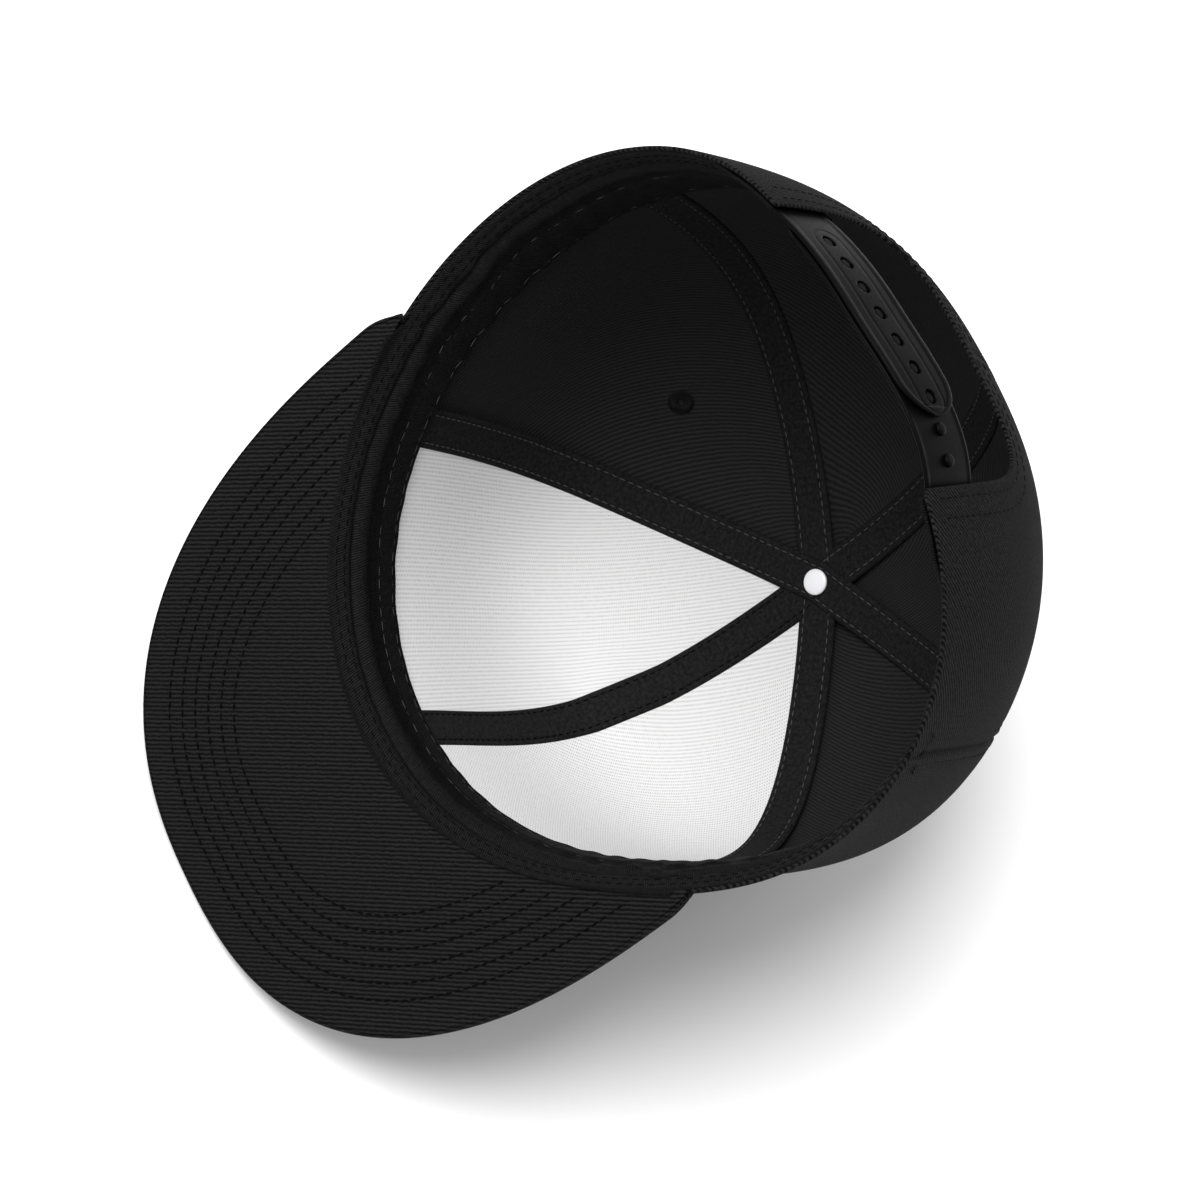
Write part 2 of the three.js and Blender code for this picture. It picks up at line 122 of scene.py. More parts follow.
def bare_crown(azimuth, share):
    """A point on the outside of the crown, before it is pressed: share 0 is the rim and 1 the apex."""
    swell = rim_swell(azimuth)
    azimuth, share = np.broadcast_arrays(np.asarray(azimuth, float), np.asarray(share, float))
    rest = 1 - share
    rim_part, wall_part = rest**3, 3 * share * rest**2
    top_part, apex_part = 3 * share**2 * rest, share**3
    reach = reach_at(azimuth)
    rim = rim_at(azimuth)
    shoulder = rim + wall_at(azimuth) * (CROWN_HEIGHT - rim)
    radius = (
        swell * (rim_part + wall_part)
        + rim_part * reach
        + wall_part * (reach + lean_at(azimuth))
        + top_part * top_at(azimuth) * reach
    )
    forward = top_part * TOP_FORWARD + apex_part * APEX_FORWARD
    height = rim_part * rim + wall_part * shoulder + (top_part + apex_part) * CROWN_HEIGHT
    return np.stack([radius * np.sin(azimuth), radius * np.cos(azimuth) + forward, height], -1)


def unit(vectors):
    return vectors / np.linalg.norm(vectors, axis=-1, keepdims=True)


def run_lengths(points):
    """How far along a line of points each point lies."""
    return np.concatenate([[0], np.linalg.norm(np.diff(points, axis=0), axis=1).cumsum()])


def pick(places, along, values):
    """The values, three to a point, at other places along a line."""
    return np.stack([np.interp(places, along, values[:, k]) for k in range(3)], -1)


def axis_distance(azimuth, share):
    """How far a place on the crown lies from the line upright through the apex."""
    return np.linalg.norm(bare_crown(azimuth, share)[:, :2] - np.array([0, APEX_FORWARD]), axis=1)


def crown_out(azimuth, share):
    """The way straight out of the crown, taken just short of the apex, where all lines meet."""
    step = 1e-3
    near = np.minimum(share, 0.985)
    across = bare_crown(azimuth + step, near) - bare_crown(azimuth - step, near)
    up = bare_crown(azimuth, near + step) - bare_crown(azimuth, near - step)
    return unit(np.cross(up, across))


down = np.array([0, sin(LYING_TILT), cos(LYING_TILT)])
floor_depth = (bare_crown(0, np.linspace(0, 1, 201)) @ down).max() - FLATTENED_BY


def crown(azimuth, share, depth=0.0):
    """A point at a depth below the crown's outside, pressed flat where the crown lies."""
    depth = np.asarray(depth, float)
    point = bare_crown(azimuth, share) - crown_out(azimuth, share) * depth[..., None]
    past = point @ down - (floor_depth - depth)
    sunk = (past + np.sqrt(past * past + PRESSED_ROUND)) / 2
    return point - sunk[..., None] * down


# %% [markdown]
# ## Lengths of cloth
# Sewing is measured along the cloth, so a table of walked lengths turns "20 mm above the rim" into
# a share of the way to the button. `lay` then turns the worn cap over, tips it on to its peak and
# changes millimetres to metres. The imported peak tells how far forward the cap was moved.

# %% Walk up the crown
AZIMUTH_STEP = radians(1)
SHARE_STEPS = 160
walk = bare_crown(np.arange(-pi, pi + 0.1, AZIMUTH_STEP)[:, None], np.linspace(0, 1, SHARE_STEPS + 1))
walked = np.linalg.norm(np.diff(walk, axis=1), axis=2).cumsum(axis=1)
walked = np.hstack([np.zeros((len(walked), 1)), walked])


def walked_row(azimuth):
    place = ((azimuth + pi) % (2 * pi)) / AZIMUTH_STEP
    low = place.astype(int)
    blend = (place - low)[:, None]
    return walked[low] * (1 - blend) + walked[np.minimum(low + 1, len(walked) - 1)] * blend


def share_at(azimuth, length):
    """The share of the way to the apex that lies at a length of cloth above the rim."""
    azimuth, length = np.broadcast_arrays(np.asarray(azimuth, float), np.asarray(length, float))
    flat, want = azimuth.ravel(), length.ravel()
    row = walked_row(flat)
    after = np.clip((row < want[:, None]).sum(axis=1), 1, SHARE_STEPS)
    each = np.arange(len(flat))
    low, high = row[each, after - 1], row[each, after]
    return ((after - 1 + (want - low) / (high - low)) / SHARE_STEPS).reshape(azimuth.shape)


def cloth_length(azimuth):
    azimuth = np.asarray(azimuth, float)
    return walked_row(azimuth.ravel())[:, -1].reshape(azimuth.shape)


print("cloth from rim to button:", round(float(cloth_length(0.0)), 1), "mm at the front")

# %% The peak's plan and the turn that lays the cap down
PEAK_LENGTH = 72.4
PEAK_HALF_WIDTH = 91
PEAK_SQUARENESS = 2.42
PEAK_WIDEST_AT = 43.4
PEAK_RETURN = 41.6
PEAK_RISE = 0.037
PEAK_DROOP = 2.2
PEAK_THICKNESS = 3.6
OUTLINE_TURN = 106
JOIN_TURN = 68.5
front_reach, front_rim = SECTIONS["reach"][0], SECTIONS["rim"][0]


def peak_underside(x, y):
    """The height of the peak's underside at a place in plan."""
    return front_rim + PEAK_RISE * (y - front_reach) - PEAK_DROOP * (x / PEAK_HALF_WIDTH) ** 2


def peak_outline(turn):
    """The peak's outline in plan, from its tip at 0 degrees back to the rim at both sides."""
    angle = np.radians(np.abs(turn))
    ahead = angle < pi / 2
    power = np.where(ahead, 2 / PEAK_SQUARENESS, 1)
    depth = np.where(ahead, front_reach + PEAK_LENGTH - PEAK_WIDEST_AT, PEAK_RETURN)
    forward = depth * np.sign(np.cos(angle)) * np.abs(np.cos(angle)) ** power
    x = np.sign(turn) * PEAK_HALF_WIDTH * np.sin(angle) ** power
    return np.stack([x, PEAK_WIDEST_AT + forward], -1)


MM = 0.001
turned_over = Matrix.Rotation(pi + LYING_TILT, 3, "X")
EDGE_ROUND = 0.35
EDGE_LOW = 0.6
tip_y = front_reach + PEAK_LENGTH - EDGE_ROUND
tip = turned_over @ Vector((0, tip_y, peak_underside(0, tip_y) + EDGE_LOW)) * MM
lying_at = np.array([0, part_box("peak_upper")[0].y - tip.y, floor_depth * MM])
print("the cap was moved forward by", round(lying_at[1] / MM, 2), "mm")


def lay(points):
    """Points of the worn cap in millimetres, as metres where the cap lies."""
    return np.asarray(points) * MM @ np.array(turned_over).T + lying_at


def lay_way(ways):
    return np.asarray(ways) @ np.array(turned_over).T


# %% [markdown]
# ## Camera, floor and light
# The photograph looks down into the cap from 65 degrees above the floor with a long lens, rolled a
# little. The floor burns out to white, one big soft light hangs almost straight above, and the room
# is bright all round, so the cap's shadow is soft.

# %% Camera
CAMERA_PLACE = Vector((0.4179, -0.3580, 1.2539))
CAMERA_AZIMUTH = radians(-49.33)
CAMERA_ELEVATION = radians(64.72)
CAMERA_ROLL = radians(-16.03)
LENS_MM = 147.18
SENSOR_MM = 36

ahead = Vector((
    sin(CAMERA_AZIMUTH) * cos(CAMERA_ELEVATION),
    cos(CAMERA_AZIMUTH) * cos(CAMERA_ELEVATION),
    -sin(CAMERA_ELEVATION),
))
level_right = ahead.cross(Vector((0, 0, 1))).normalized()
level_up = level_right.cross(ahead)
view_up = level_up * cos(CAMERA_ROLL) + level_right * sin(CAMERA_ROLL)
view_right = ahead.cross(view_up)
camera = bpy.data.objects.new("camera", bpy.data.cameras.new("camera"))
camera.matrix_world = Matrix.Translation(CAMERA_PLACE) @ Matrix(
    (view_right, view_up, -ahead)
).transposed().to_4x4()
camera.data.lens = LENS_MM
camera.data.sensor_width = SENSOR_MM
camera.data.clip_start = 0.05
bpy.context.scene.collection.objects.link(camera)
bpy.context.scene.camera = camera
print("camera", [round(x, 3) for x in CAMERA_PLACE])


# %% Floor
def new_object(name, bm):
    """Makes a scene object from a bmesh, smooth all over."""
    for face in bm.faces:
        face.smooth = True
    mesh = bpy.data.meshes.new(name)
    bm.to_mesh(mesh)
    bm.free()
    made = bpy.data.objects.new(name, mesh)
    bpy.context.scene.collection.objects.link(made)
    return made


def new_material(name, roughness, specular):
    """Makes a material, and hands over its node tree and its shader too."""
    material = bpy.data.materials.new(name)
    material.use_nodes = True
    shader = material.node_tree.nodes["Principled BSDF"]
    shader.inputs["Roughness"].default_value = roughness
    shader.inputs["Specular IOR Level"].default_value = specular
    return material, material.node_tree, shader


FLOOR_HALF_WIDTH = 6.0
FLOOR_WHITE = 0.9
bm = bmesh.new()
bmesh.ops.create_grid(bm, x_segments=1, y_segments=1, size=FLOOR_HALF_WIDTH)
floor = new_object("floor", bm)
paper, _, shader = new_material("paper", 0.9, 0.1)
shader.inputs["Base Color"].default_value = (FLOOR_WHITE, FLOOR_WHITE, FLOOR_WHITE, 1)
floor.data.materials.append(paper)
print("laid a floor", 2 * FLOOR_HALF_WIDTH, "m wide")

# %% Light
KEY_PLACE = Vector((-0.26, -0.15, 1.9))
KEY_SIZE = 1.4
KEY_WATTS = 46
ROOM_LIGHT = 0.74
light = bpy.data.lights.new("key", "AREA")
light.shape = "DISK"
light.size = KEY_SIZE
light.energy = KEY_WATTS
lamp = bpy.data.objects.new("key", light)
lamp.location = KEY_PLACE
lamp.rotation_euler = (-KEY_PLACE).to_track_quat("-Z", "Y").to_euler()
bpy.context.scene.collection.objects.link(lamp)
room = bpy.data.worlds.new("room")
room.use_nodes = True
room.node_tree.nodes["Background"].inputs["Strength"].default_value = ROOM_LIGHT
room.node_tree.nodes["Background"].inputs["Color"].default_value = (1, 1, 1, 1)
bpy.context.scene.world = room
bpy.context.scene.view_settings.view_transform = "Standard"
print("one light of", KEY_WATTS, "watts and a room at", ROOM_LIGHT)

# %% [markdown]
# ## Finishes
# Cloth is drawn in its own millimetres, kept in a UV map called cloth, so a weave runs with the
# thread and never slides. Twill is diagonal ribs, each a row of short slanted threads, with painted
# shade in the grooves. One node group makes the ribs of twill, tape and satin. The sweatband has its
# own tones, with painted shade where it folds into its seams; the stiffening is an open weave with
# small pits, and thread, strap and rivet have a plain finish.


# %% Node helpers
def add_node(tree, kind, inputs=None, **settings):
    """Adds a shader node with its settings, and inputs that are values or other nodes' outputs."""
    node = tree.nodes.new(kind)
    for key, value in settings.items():
        setattr(node, key, value)
    for key, value in (inputs or {}).items():
        socket = node.inputs[key]
        if isinstance(value, bpy.types.NodeSocket):
            tree.links.new(value, socket)
        else:
            socket.default_value = value
    return node


def math(tree, operation, *values):
    """One Math node, fed with values or sockets."""
    return add_node(tree, "ShaderNodeMath", dict(enumerate(values)), operation=operation).outputs[0]


def split(tree, vector):
    """The X, Y and Z of a vector socket."""
    return add_node(tree, "ShaderNodeSeparateXYZ", {"Vector": vector}).outputs


def wave(tree, kind, place):
    """A sine or cosine wave that repeats at every whole number."""
    return math(tree, kind, math(tree, "MULTIPLY", place, 2 * pi))


def add_bump(tree, shader, height, depth):
    """Raises a finish by a height socket, where 1 stands for a depth in millimetres."""
    bump = add_node(tree, "ShaderNodeBump", {"Height": height, "Strength": 1.0, "Distance": depth * MM})
    tree.links.new(bump.outputs["Normal"], shader.inputs["Normal"])


def noise(tree, vector, scale, detail, roughness=0.5):
    """A soft noise between 0 and 1."""
    inputs = {"Vector": vector, "Scale": scale, "Detail": detail, "Roughness": roughness}
    return add_node(tree, "ShaderNodeTexNoise", inputs).outputs["Fac"]


# %% Ribbed weave
RIB_HEIGHT = 0.38
THREAD_HEIGHT = 0.17
FUZZ_HEIGHT = 0.5
# from one rib to the next, as a share of the threads' pitch
THREAD_SHIFT = 0.37
WANDER = 0.7
ribs = bpy.data.node_groups.new("ribbed weave", "ShaderNodeTree")
ribs.interface.new_socket("Cloth", in_out="INPUT", socket_type="NodeSocketVector")
for socket_name in ("Slant", "Rib Pitch", "Thread Pitch"):
    ribs.interface.new_socket(socket_name, in_out="INPUT", socket_type="NodeSocketFloat")
for socket_name in ("Height", "Fleck"):
    ribs.interface.new_socket(socket_name, in_out="OUTPUT", socket_type="NodeSocketFloat")
given = ribs.nodes.new("NodeGroupInput").outputs
out = ribs.nodes.new("NodeGroupOutput").inputs
off_line = math(ribs, "SUBTRACT", noise(ribs, given["Cloth"], 0.5, 5), 0.5)
shift = math(ribs, "MULTIPLY", off_line, WANDER)
turn = add_node(
    ribs, "ShaderNodeVectorRotate", {"Vector": given["Cloth"], "Angle": given["Slant"]},
    rotation_type="Z_AXIS",
)
turned_x, turned_y, _ = split(ribs, turn.outputs["Vector"])
rib_place = math(ribs, "DIVIDE", math(ribs, "ADD", turned_y, shift), given["Rib Pitch"])
rib_number = math(ribs, "FLOOR", math(ribs, "ADD", rib_place, 0.25))
thread_place = math(
    ribs, "ADD",
    math(ribs, "DIVIDE", turned_x, given["Thread Pitch"]),
    math(ribs, "ADD", math(ribs, "MULTIPLY", rib_number, THREAD_SHIFT), rib_place),
)
rib_height = math(ribs, "MULTIPLY_ADD", wave(ribs, "SINE", rib_place), RIB_HEIGHT, 0.5)
with_threads = math(ribs, "MULTIPLY_ADD", wave(ribs, "SINE", thread_place), THREAD_HEIGHT, rib_height)
off_middle = math(ribs, "SUBTRACT", noise(ribs, given["Cloth"], 3.5, 4), 0.5)
ribs.links.new(math(ribs, "MULTIPLY_ADD", off_middle, FUZZ_HEIGHT, with_threads), out["Height"])
ribs.links.new(noise(ribs, given["Cloth"], 0.9, 6, 0.65), out["Fleck"])
print("made the group", ribs.name)


# %% Cloth materials
def grey(value):
    """A grey as a colour, a trace cooler than neutral."""
    return (value, value, value * 1.02, 1)


def ribbed_cloth(name, groove, rib, slant, pitches, bump, roughness, mottle):
    """A cloth whose ribs are lighter than the grooves between them, which carry painted shade."""
    material, tree, shader = new_material(name, roughness, CLOTH_SPECULAR)
    weave = add_node(tree, "ShaderNodeGroup", node_tree=ribs)
    weave.inputs["Slant"].default_value = slant
    weave.inputs["Rib Pitch"].default_value, weave.inputs["Thread Pitch"].default_value = pitches
    cloth = add_node(tree, "ShaderNodeUVMap", uv_map="cloth")
    tree.links.new(cloth.outputs["UV"], weave.inputs["Cloth"])
    # painted shade: the colour follows the weave's height, darkest in the grooves, with a random mottle
    # of the cloth's own tone on top
    tone = math(tree, "MULTIPLY_ADD", weave.outputs["Fleck"], mottle, -mottle / 2)
    groove_shade_and_fleck = math(tree, "ADD", weave.outputs["Height"], tone)
    tone_and_shade = math(tree, "MULTIPLY_ADD", groove_shade_and_fleck, 1.3, -0.15)
    colour = add_node(tree, "ShaderNodeMix", {"Factor": tone_and_shade}, data_type="RGBA")
    dark_end, light_end = (socket for socket in colour.inputs if socket.type == "RGBA")
    dark_end.default_value, light_end.default_value = grey(groove), grey(rib)
    mixed = next(socket for socket in colour.outputs if socket.type == "RGBA")
    tree.links.new(mixed, shader.inputs["Base Color"])
    add_bump(tree, shader, weave.outputs["Height"], bump)
    return material


CLOTH_SPECULAR = 0.045
CLOTHS = (
    # name, groove colour with painted shade, rib colour, slant, rib and thread pitch, bump depth,
    # roughness, mottle
    ("twill", 0.0004, 0.0175, 0.66, (1.15, 0.5), 0.35, 0.85, 2.0),
    ("twill_reverse", 0.0085, 0.0205, 0.66, (1.15, 0.5), 0.12, 0.85, 0.5),
    ("peak_twill", 0.001, 0.0155, 0.996, (1.16, 0.5), 0.3, 0.85, 1.0),
    ("tape", 0.003, 0.018, 0.9, (0.35, 0.3), 0.06, 0.8, 2.6),
    ("sweatband", 0.001, 0.0122, 1.1, (0.62, 0.4), 0.12, 0.6, 1.6),
)
twill, twill_reverse, peak_twill, tape_cloth, band_satin = (ribbed_cloth(*row) for row in CLOTHS)
print("wove", len(CLOTHS), "cloths")

# %% Darker zones along the sweatband: its own tones, with painted shade in its fold and grooves
BAND_TONES_AND_SHADE = (
    # millimetres above the rim, brightness: the band's own tones, and painted shade dipping at its fold
    # (0 mm) and grooves (6.2 mm, 10.8 to 13.6 mm)
    (0, 0.5), (0.8, 1.0), (5.5, 1.0), (6.2, 0.4), (6.9, 0.95),
    (9.6, 0.8), (10.8, 0.35), (13.6, 0.4), (14.4, 0.65), (26, 0.5),
)
ZONES_LENGTH = 30
tree = band_satin.node_tree
shader = tree.nodes["Principled BSDF"]
woven = shader.inputs["Base Color"].links[0].from_socket
_, up, _ = split(tree, tree.nodes["UV Map"].outputs["UV"])
band_tones_and_shade = add_node(tree, "ShaderNodeValToRGB", {"Fac": math(tree, "DIVIDE", up, ZONES_LENGTH)})
for k, (height, tone_and_shade) in enumerate(BAND_TONES_AND_SHADE):
    stops = band_tones_and_shade.color_ramp.elements
    stop = stops[k] if k < 2 else stops.new(1)
    stop.position = height / ZONES_LENGTH
    stop.color = (tone_and_shade, tone_and_shade, tone_and_shade, 1)
# the weave's colour times the band's own tones and its painted shade in the fold and grooves
shaded = add_node(
    tree, "ShaderNodeVectorMath", {0: woven, 1: band_tones_and_shade.outputs["Color"]}, operation="MULTIPLY"
)
tree.links.new(shaded.outputs["Vector"], shader.inputs["Base Color"])
print("darkened the sweatband in", len(BAND_TONES_AND_SHADE), "steps")

# %% Open weave of the stiffening
PIT_PITCH = 0.7
PIT_ROW_PITCH = 1.05
PIT_SHARPNESS = 1.5
BUCKRAM_WHITE = 0.67
PIT_GREY = 0.3
buckram, tree, shader = new_material("buckram", 0.95, 0.1)
cloth = add_node(tree, "ShaderNodeUVMap", uv_map="cloth").outputs["UV"]
cloth_x, cloth_y, _ = split(tree, cloth)
row = math(tree, "DIVIDE", cloth_x, PIT_ROW_PITCH)
half_step = math(tree, "MULTIPLY", math(tree, "ROUND", row), 0.5)
along = math(tree, "ADD", math(tree, "DIVIDE", cloth_y, PIT_PITCH), half_step)
row_wave = math(tree, "MULTIPLY_ADD", wave(tree, "COSINE", row), 0.5, 0.5)
pit_wave = math(tree, "MULTIPLY_ADD", wave(tree, "COSINE", along), 0.5, 0.5)
pits = math(tree, "POWER", math(tree, "MULTIPLY", row_wave, pit_wave), PIT_SHARPNESS)
depth = math(tree, "MULTIPLY", pits, noise(tree, cloth, 0.8, 4))
shade = add_node(
    tree, "ShaderNodeMapRange",
    {"Value": depth, "From Max": 0.6, "To Min": BUCKRAM_WHITE, "To Max": PIT_GREY},
)
tree.links.new(shade.outputs["Result"], shader.inputs["Base Color"])
add_bump(tree, shader, shade.outputs["Result"], 0.12)
print("made", buckram.name)


# %% Plain finishes
ROUGHNESS_SPECK = 0.15
GRAIN_DEPTH = 0.02
MOULDED_GRAIN = 900
THREAD_GRAIN = 3000


def plain(name, shade, roughness, specular, scale, coat=0.0):
    """A moulded, painted or thread finish with a faint grain."""
    material, tree, shader = new_material(name, roughness, specular)
    grain = noise(tree, add_node(tree, "ShaderNodeTexCoord").outputs["Object"], scale, 3)
    off_middle = math(tree, "SUBTRACT", grain, 0.5)
    rough = math(tree, "MULTIPLY_ADD", off_middle, ROUGHNESS_SPECK, roughness)
    tree.links.new(rough, shader.inputs["Roughness"])
    add_bump(tree, shader, grain, GRAIN_DEPTH)
    shader.inputs["Base Color"].default_value = grey(shade)
    shader.inputs["Coat Weight"].default_value = coat
    return material


strap_plastic = plain("strap_plastic", 0.0016, 0.42, 0.04, MOULDED_GRAIN)
dark_thread = plain("dark_thread", 0.0012, 0.7, 0.03, THREAD_GRAIN)
light_thread = plain("light_thread", 0.06, 0.6, 0.1, THREAD_GRAIN)
eyelet_thread = plain("eyelet_thread", 0.0055, 0.6, 0.15, THREAD_GRAIN)
enamel = plain("enamel", 0.85, 0.18, 0.5, MOULDED_GRAIN, coat=0.5)
print("made", len(bpy.data.materials), "materials")

# %% [markdown]
# ## Sewing with grids
# Cloth starts as a flat grid. Each corner then goes to its place on the cap, worked out for all
# corners at once, and keeps its cloth coordinates. Solidify thickens the cloth afterwards, always
# away from the side that was drawn.


# %% Cloth from a grid
def cloth_piece(name, columns, rows, place, thickness):
    """A grid whose corners go where place says: points, ways out and cloth coordinates."""
    bm = bmesh.new()
    bmesh.ops.create_grid(bm, x_segments=columns, y_segments=rows, size=0.5)
    bm.verts.index_update()
    flat = np.array([vert.co[:2] for vert in bm.verts])
    flat = (flat - flat.min(axis=0)) / np.ptp(flat, axis=0)
    points, ways, cloth = place(flat[:, 0], flat[:, 1])
    for vert, spot in zip(bm.verts, lay(points)):
        vert.co = spot
    uv = bm.loops.layers.uv.new("cloth")
    for face in bm.faces:
        for loop in face.loops:
            loop[uv].uv = cloth[loop.vert.index]
    bm.normal_update()
    out_ways = lay_way(ways)
    facing = sum(face.normal @ Vector(out_ways[face.verts[0].index]) for face in bm.faces)
    if facing < 0:
        bmesh.ops.reverse_faces(bm, faces=bm.faces[:])
    piece = new_object(name, bm)
    wall = piece.modifiers.new("wall", "SOLIDIFY")
    wall.thickness = thickness * MM
    wall.offset = -1
    return piece


def applied(piece):
    """Turns a piece's modifiers into mesh."""
    graph = bpy.context.evaluated_depsgraph_get()
    mesh = bpy.data.meshes.new_from_object(piece.evaluated_get(graph))
    piece.modifiers.clear()
    piece.data = mesh


def dress(piece, material, slot, *nodes):
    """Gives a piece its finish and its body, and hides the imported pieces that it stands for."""
    piece.data.materials.append(material)
    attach(piece, "root")
    if nodes:
        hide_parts(*nodes)
    print(piece.name, len(piece.data.vertices), "corners")


# %% [markdown]
# ## Stitches
# A stitch is a short rounded thread that sinks into the cloth at both ends. An Array modifier copies
# one thread for all stitches, and then every copy is turned and moved to its place along a line.


# %% Stitch rows
# the pitch, the length and the radius of each kind of stitch
TAPE_STITCH = (2.6, 1.8, 0.17)
BAND_LIGHT_STITCH = (3.7, 3.2, 0.1)
BAND_DARK_STITCH = (3.2, 2.2, 0.2)
PEAK_STITCH = (3.0, 2.2, 0.3)
TOP_STITCH = (2.9, 2.1, 0.2)
THREAD_SIDES = 6
THREAD_RINGS = 4


def stitch_row(points, ways, pitch, length, radius):
    """Middles and half axes of the stitches along a line of points, with ways out of the cloth."""
    along = run_lengths(points)
    centre = np.arange(pitch / 2, along[-1] - pitch / 2, pitch)
    back, front = pick(centre - length / 2, along, points), pick(centre + length / 2, along, points)
    run = unit(front - back)
    side = unit(np.cross(pick(centre, along, ways), run))
    rise = np.cross(run, side)
    axes = np.stack([side * radius, rise * radius, run * length / 2], 1)
    return (back + front) / 2, axes


def stitches(name, rows, thread):
    """One dressed piece of all the stitches in rows."""
    middles = np.vstack([row[0] for row in rows])
    axes = np.vstack([row[1] for row in rows])
    bm = bmesh.new()
    bmesh.ops.create_uvsphere(bm, u_segments=THREAD_SIDES, v_segments=THREAD_RINGS, radius=1)
    ball = np.array([vert.co[:] for vert in bm.verts])
    piece = new_object(name, bm)
    copies = piece.modifiers.new("copies", "ARRAY")
    copies.count = len(middles)
    applied(piece)
    spots = middles[:, None, :] + np.einsum("vk,nkc->nvc", ball, axes)
    piece.data.vertices.foreach_set("co", lay(spots.reshape(-1, 3)).ravel())
    piece.data.update()
    print(name, len(middles), "stitches")
    dress(piece, thread, "thread")


# %% [markdown]
# ## Crown panels
# Six panels meet at the button. Each is folded round its rim to make the hem, dips into the seam at
# both sides and has a channel next to each seam for the row of stitches that catches the tape
# inside. The two back panels also fold round the opening.

# %% Panel sizes
PANEL_CLOTH = 0.55
RIM_ON_PEAK = 1.7
FOLD_RADIUS = 0.6
HEM = 8.0
APEX_HOLE = 1.8
TOPSTITCH = 4.0
FOLD_ROWS = 6
HEM_ROWS = 4
RIM_SHARE_OF_BACK = 5 / 14


def straight_feet(start, end):
    """Feet of a panel along the rim."""
    return lambda u: (start + (end - start) * u, np.zeros_like(u))


def back_feet(u):
    """Feet of a back panel: along the rim, then up and over one half of the opening."""
    corner = BACK_SEAM - ARCH_HALF_ANGLE
    on_rim = np.clip(u / RIM_SHARE_OF_BACK, 0, 1)
    turn = np.clip((u - RIM_SHARE_OF_BACK) / (1 - RIM_SHARE_OF_BACK), 0, 1) * pi / 2
    aside, up = np.maximum(np.cos(turn), 0), np.sin(turn)
    shrink = (aside**ARCH_SQUARENESS + up**ARCH_SQUARENESS) ** (1 / ARCH_SQUARENESS)
    rim_azimuth = SIDE_BACK_SEAM + (corner - SIDE_BACK_SEAM) * on_rim
    arch_azimuth = BACK_SEAM - (ARCH_HALF_ANGLE - ARCH_TAPER * up / shrink) * aside / shrink
    return (
        np.where(u < RIM_SHARE_OF_BACK, rim_azimuth, arch_azimuth),
        np.where(u < RIM_SHARE_OF_BACK, 0, ARCH_HEIGHT * up / shrink),
    )


def edge_way(feet, u):
    """The way past the panel's edge in the cloth, as millimetres round and up."""
    step = 2e-3
    before, after = feet(np.clip(u - step, 0, 1)), feet(np.clip(u + step, 0, 1))
    round_way = np.radians(after[0] - before[0]) * reach_at(np.radians(feet(u)[0]))
    way = unit(np.stack([round_way, after[1] - before[1]], -1))
    return way[:, 1], -way[:, 0]


def seam_relief(off_seam, radius):
    """How far the cloth lies below the crown's outside beside a seam."""
    fade = np.clip(radius / 9, 0, 1)
    dip = 0.6 * hump(off_seam, 0.7)
    channel = 0.22 * hump(off_seam - TOPSTITCH, 0.55)
    puff = 0.12 * hump(off_seam - TOPSTITCH / 2, 1.0)
    return fade * (dip + channel - puff)


def smooth(value, start, end):
    """Rises smoothly from 0 at start to 1 at end."""
    part = np.clip((value - start) / (end - start), 0, 1)
    return part * part * (3 - 2 * part)


def over_peak(azimuth):
    """1 where the rim stands on the peak's join, and 0 past its ends, for an azimuth in radians."""
    return 1 - smooth(np.abs(np.degrees(azimuth)), JOIN_TURN - 3, JOIN_TURN + 1)


def panel_place(feet, side, depth=0.0, fold=True, relief=True, foot_length=0.0):
    """Where the corners of a panel's grid go."""

    def place(u, v):
        foot, length = feet(u)
        length = length + RIM_ON_PEAK * over_peak(np.radians(foot))
        start, end = feet(np.zeros(1))[0][0], feet(np.ones(1))[0][0]
        fold_share = (HEM_ROWS + FOLD_ROWS) / (HEM_ROWS + FOLD_ROWS + PANEL_ROWS) if fold else 0
        up = np.clip((v - fold_share) / (1 - fold_share), 0, 1)
        head = start + (end - start) * u
        azimuth = np.radians(foot + (head - foot) * up)
        top = cloth_length(azimuth) - APEX_HOLE
        low = length + foot_length
        above = low + (top - low) * up
        below = np.zeros_like(u)
        if fold:
            past_round, past_up = edge_way(feet, u)
            hem_share = HEM_ROWS / (HEM_ROWS + FOLD_ROWS + PANEL_ROWS)
            turn = np.clip((v - hem_share) / (fold_share - hem_share), 0, 1)
            in_hem = np.clip(1 - v / hem_share, 0, 1)
            bend = np.where(v < fold_share, (1 - turn) * pi, 0)
            corner_room = np.abs(u - RIM_SHARE_OF_BACK) * 130 if feet is back_feet else 99
            past = FOLD_RADIUS * np.sin(bend) - in_hem * np.minimum(HEM, corner_room)
            below = FOLD_RADIUS * (1 - np.cos(bend))
            azimuth = azimuth + past * past_round / reach_at(azimuth)
            above = above + past * past_up
        share = share_at(azimuth, above)
        radius = axis_distance(azimuth, share)
        off_seams = [np.abs(azimuth - radians(seam)) * radius for seam in (start, end)]
        sunk = sum(seam_relief(off_seam, radius) for off_seam in off_seams)
        even_edge = (2, 9) if feet is back_feet else (0, 3)
        sunk = relief * sunk * smooth(above - low, *even_edge)
        cloth = np.stack([side * (azimuth - radians(start + end) / 2) * radius, above], -1)
        points = crown(side * azimuth, share, depth + below + sunk)
        return points, crown_out(side * azimuth, share), cloth

    return place


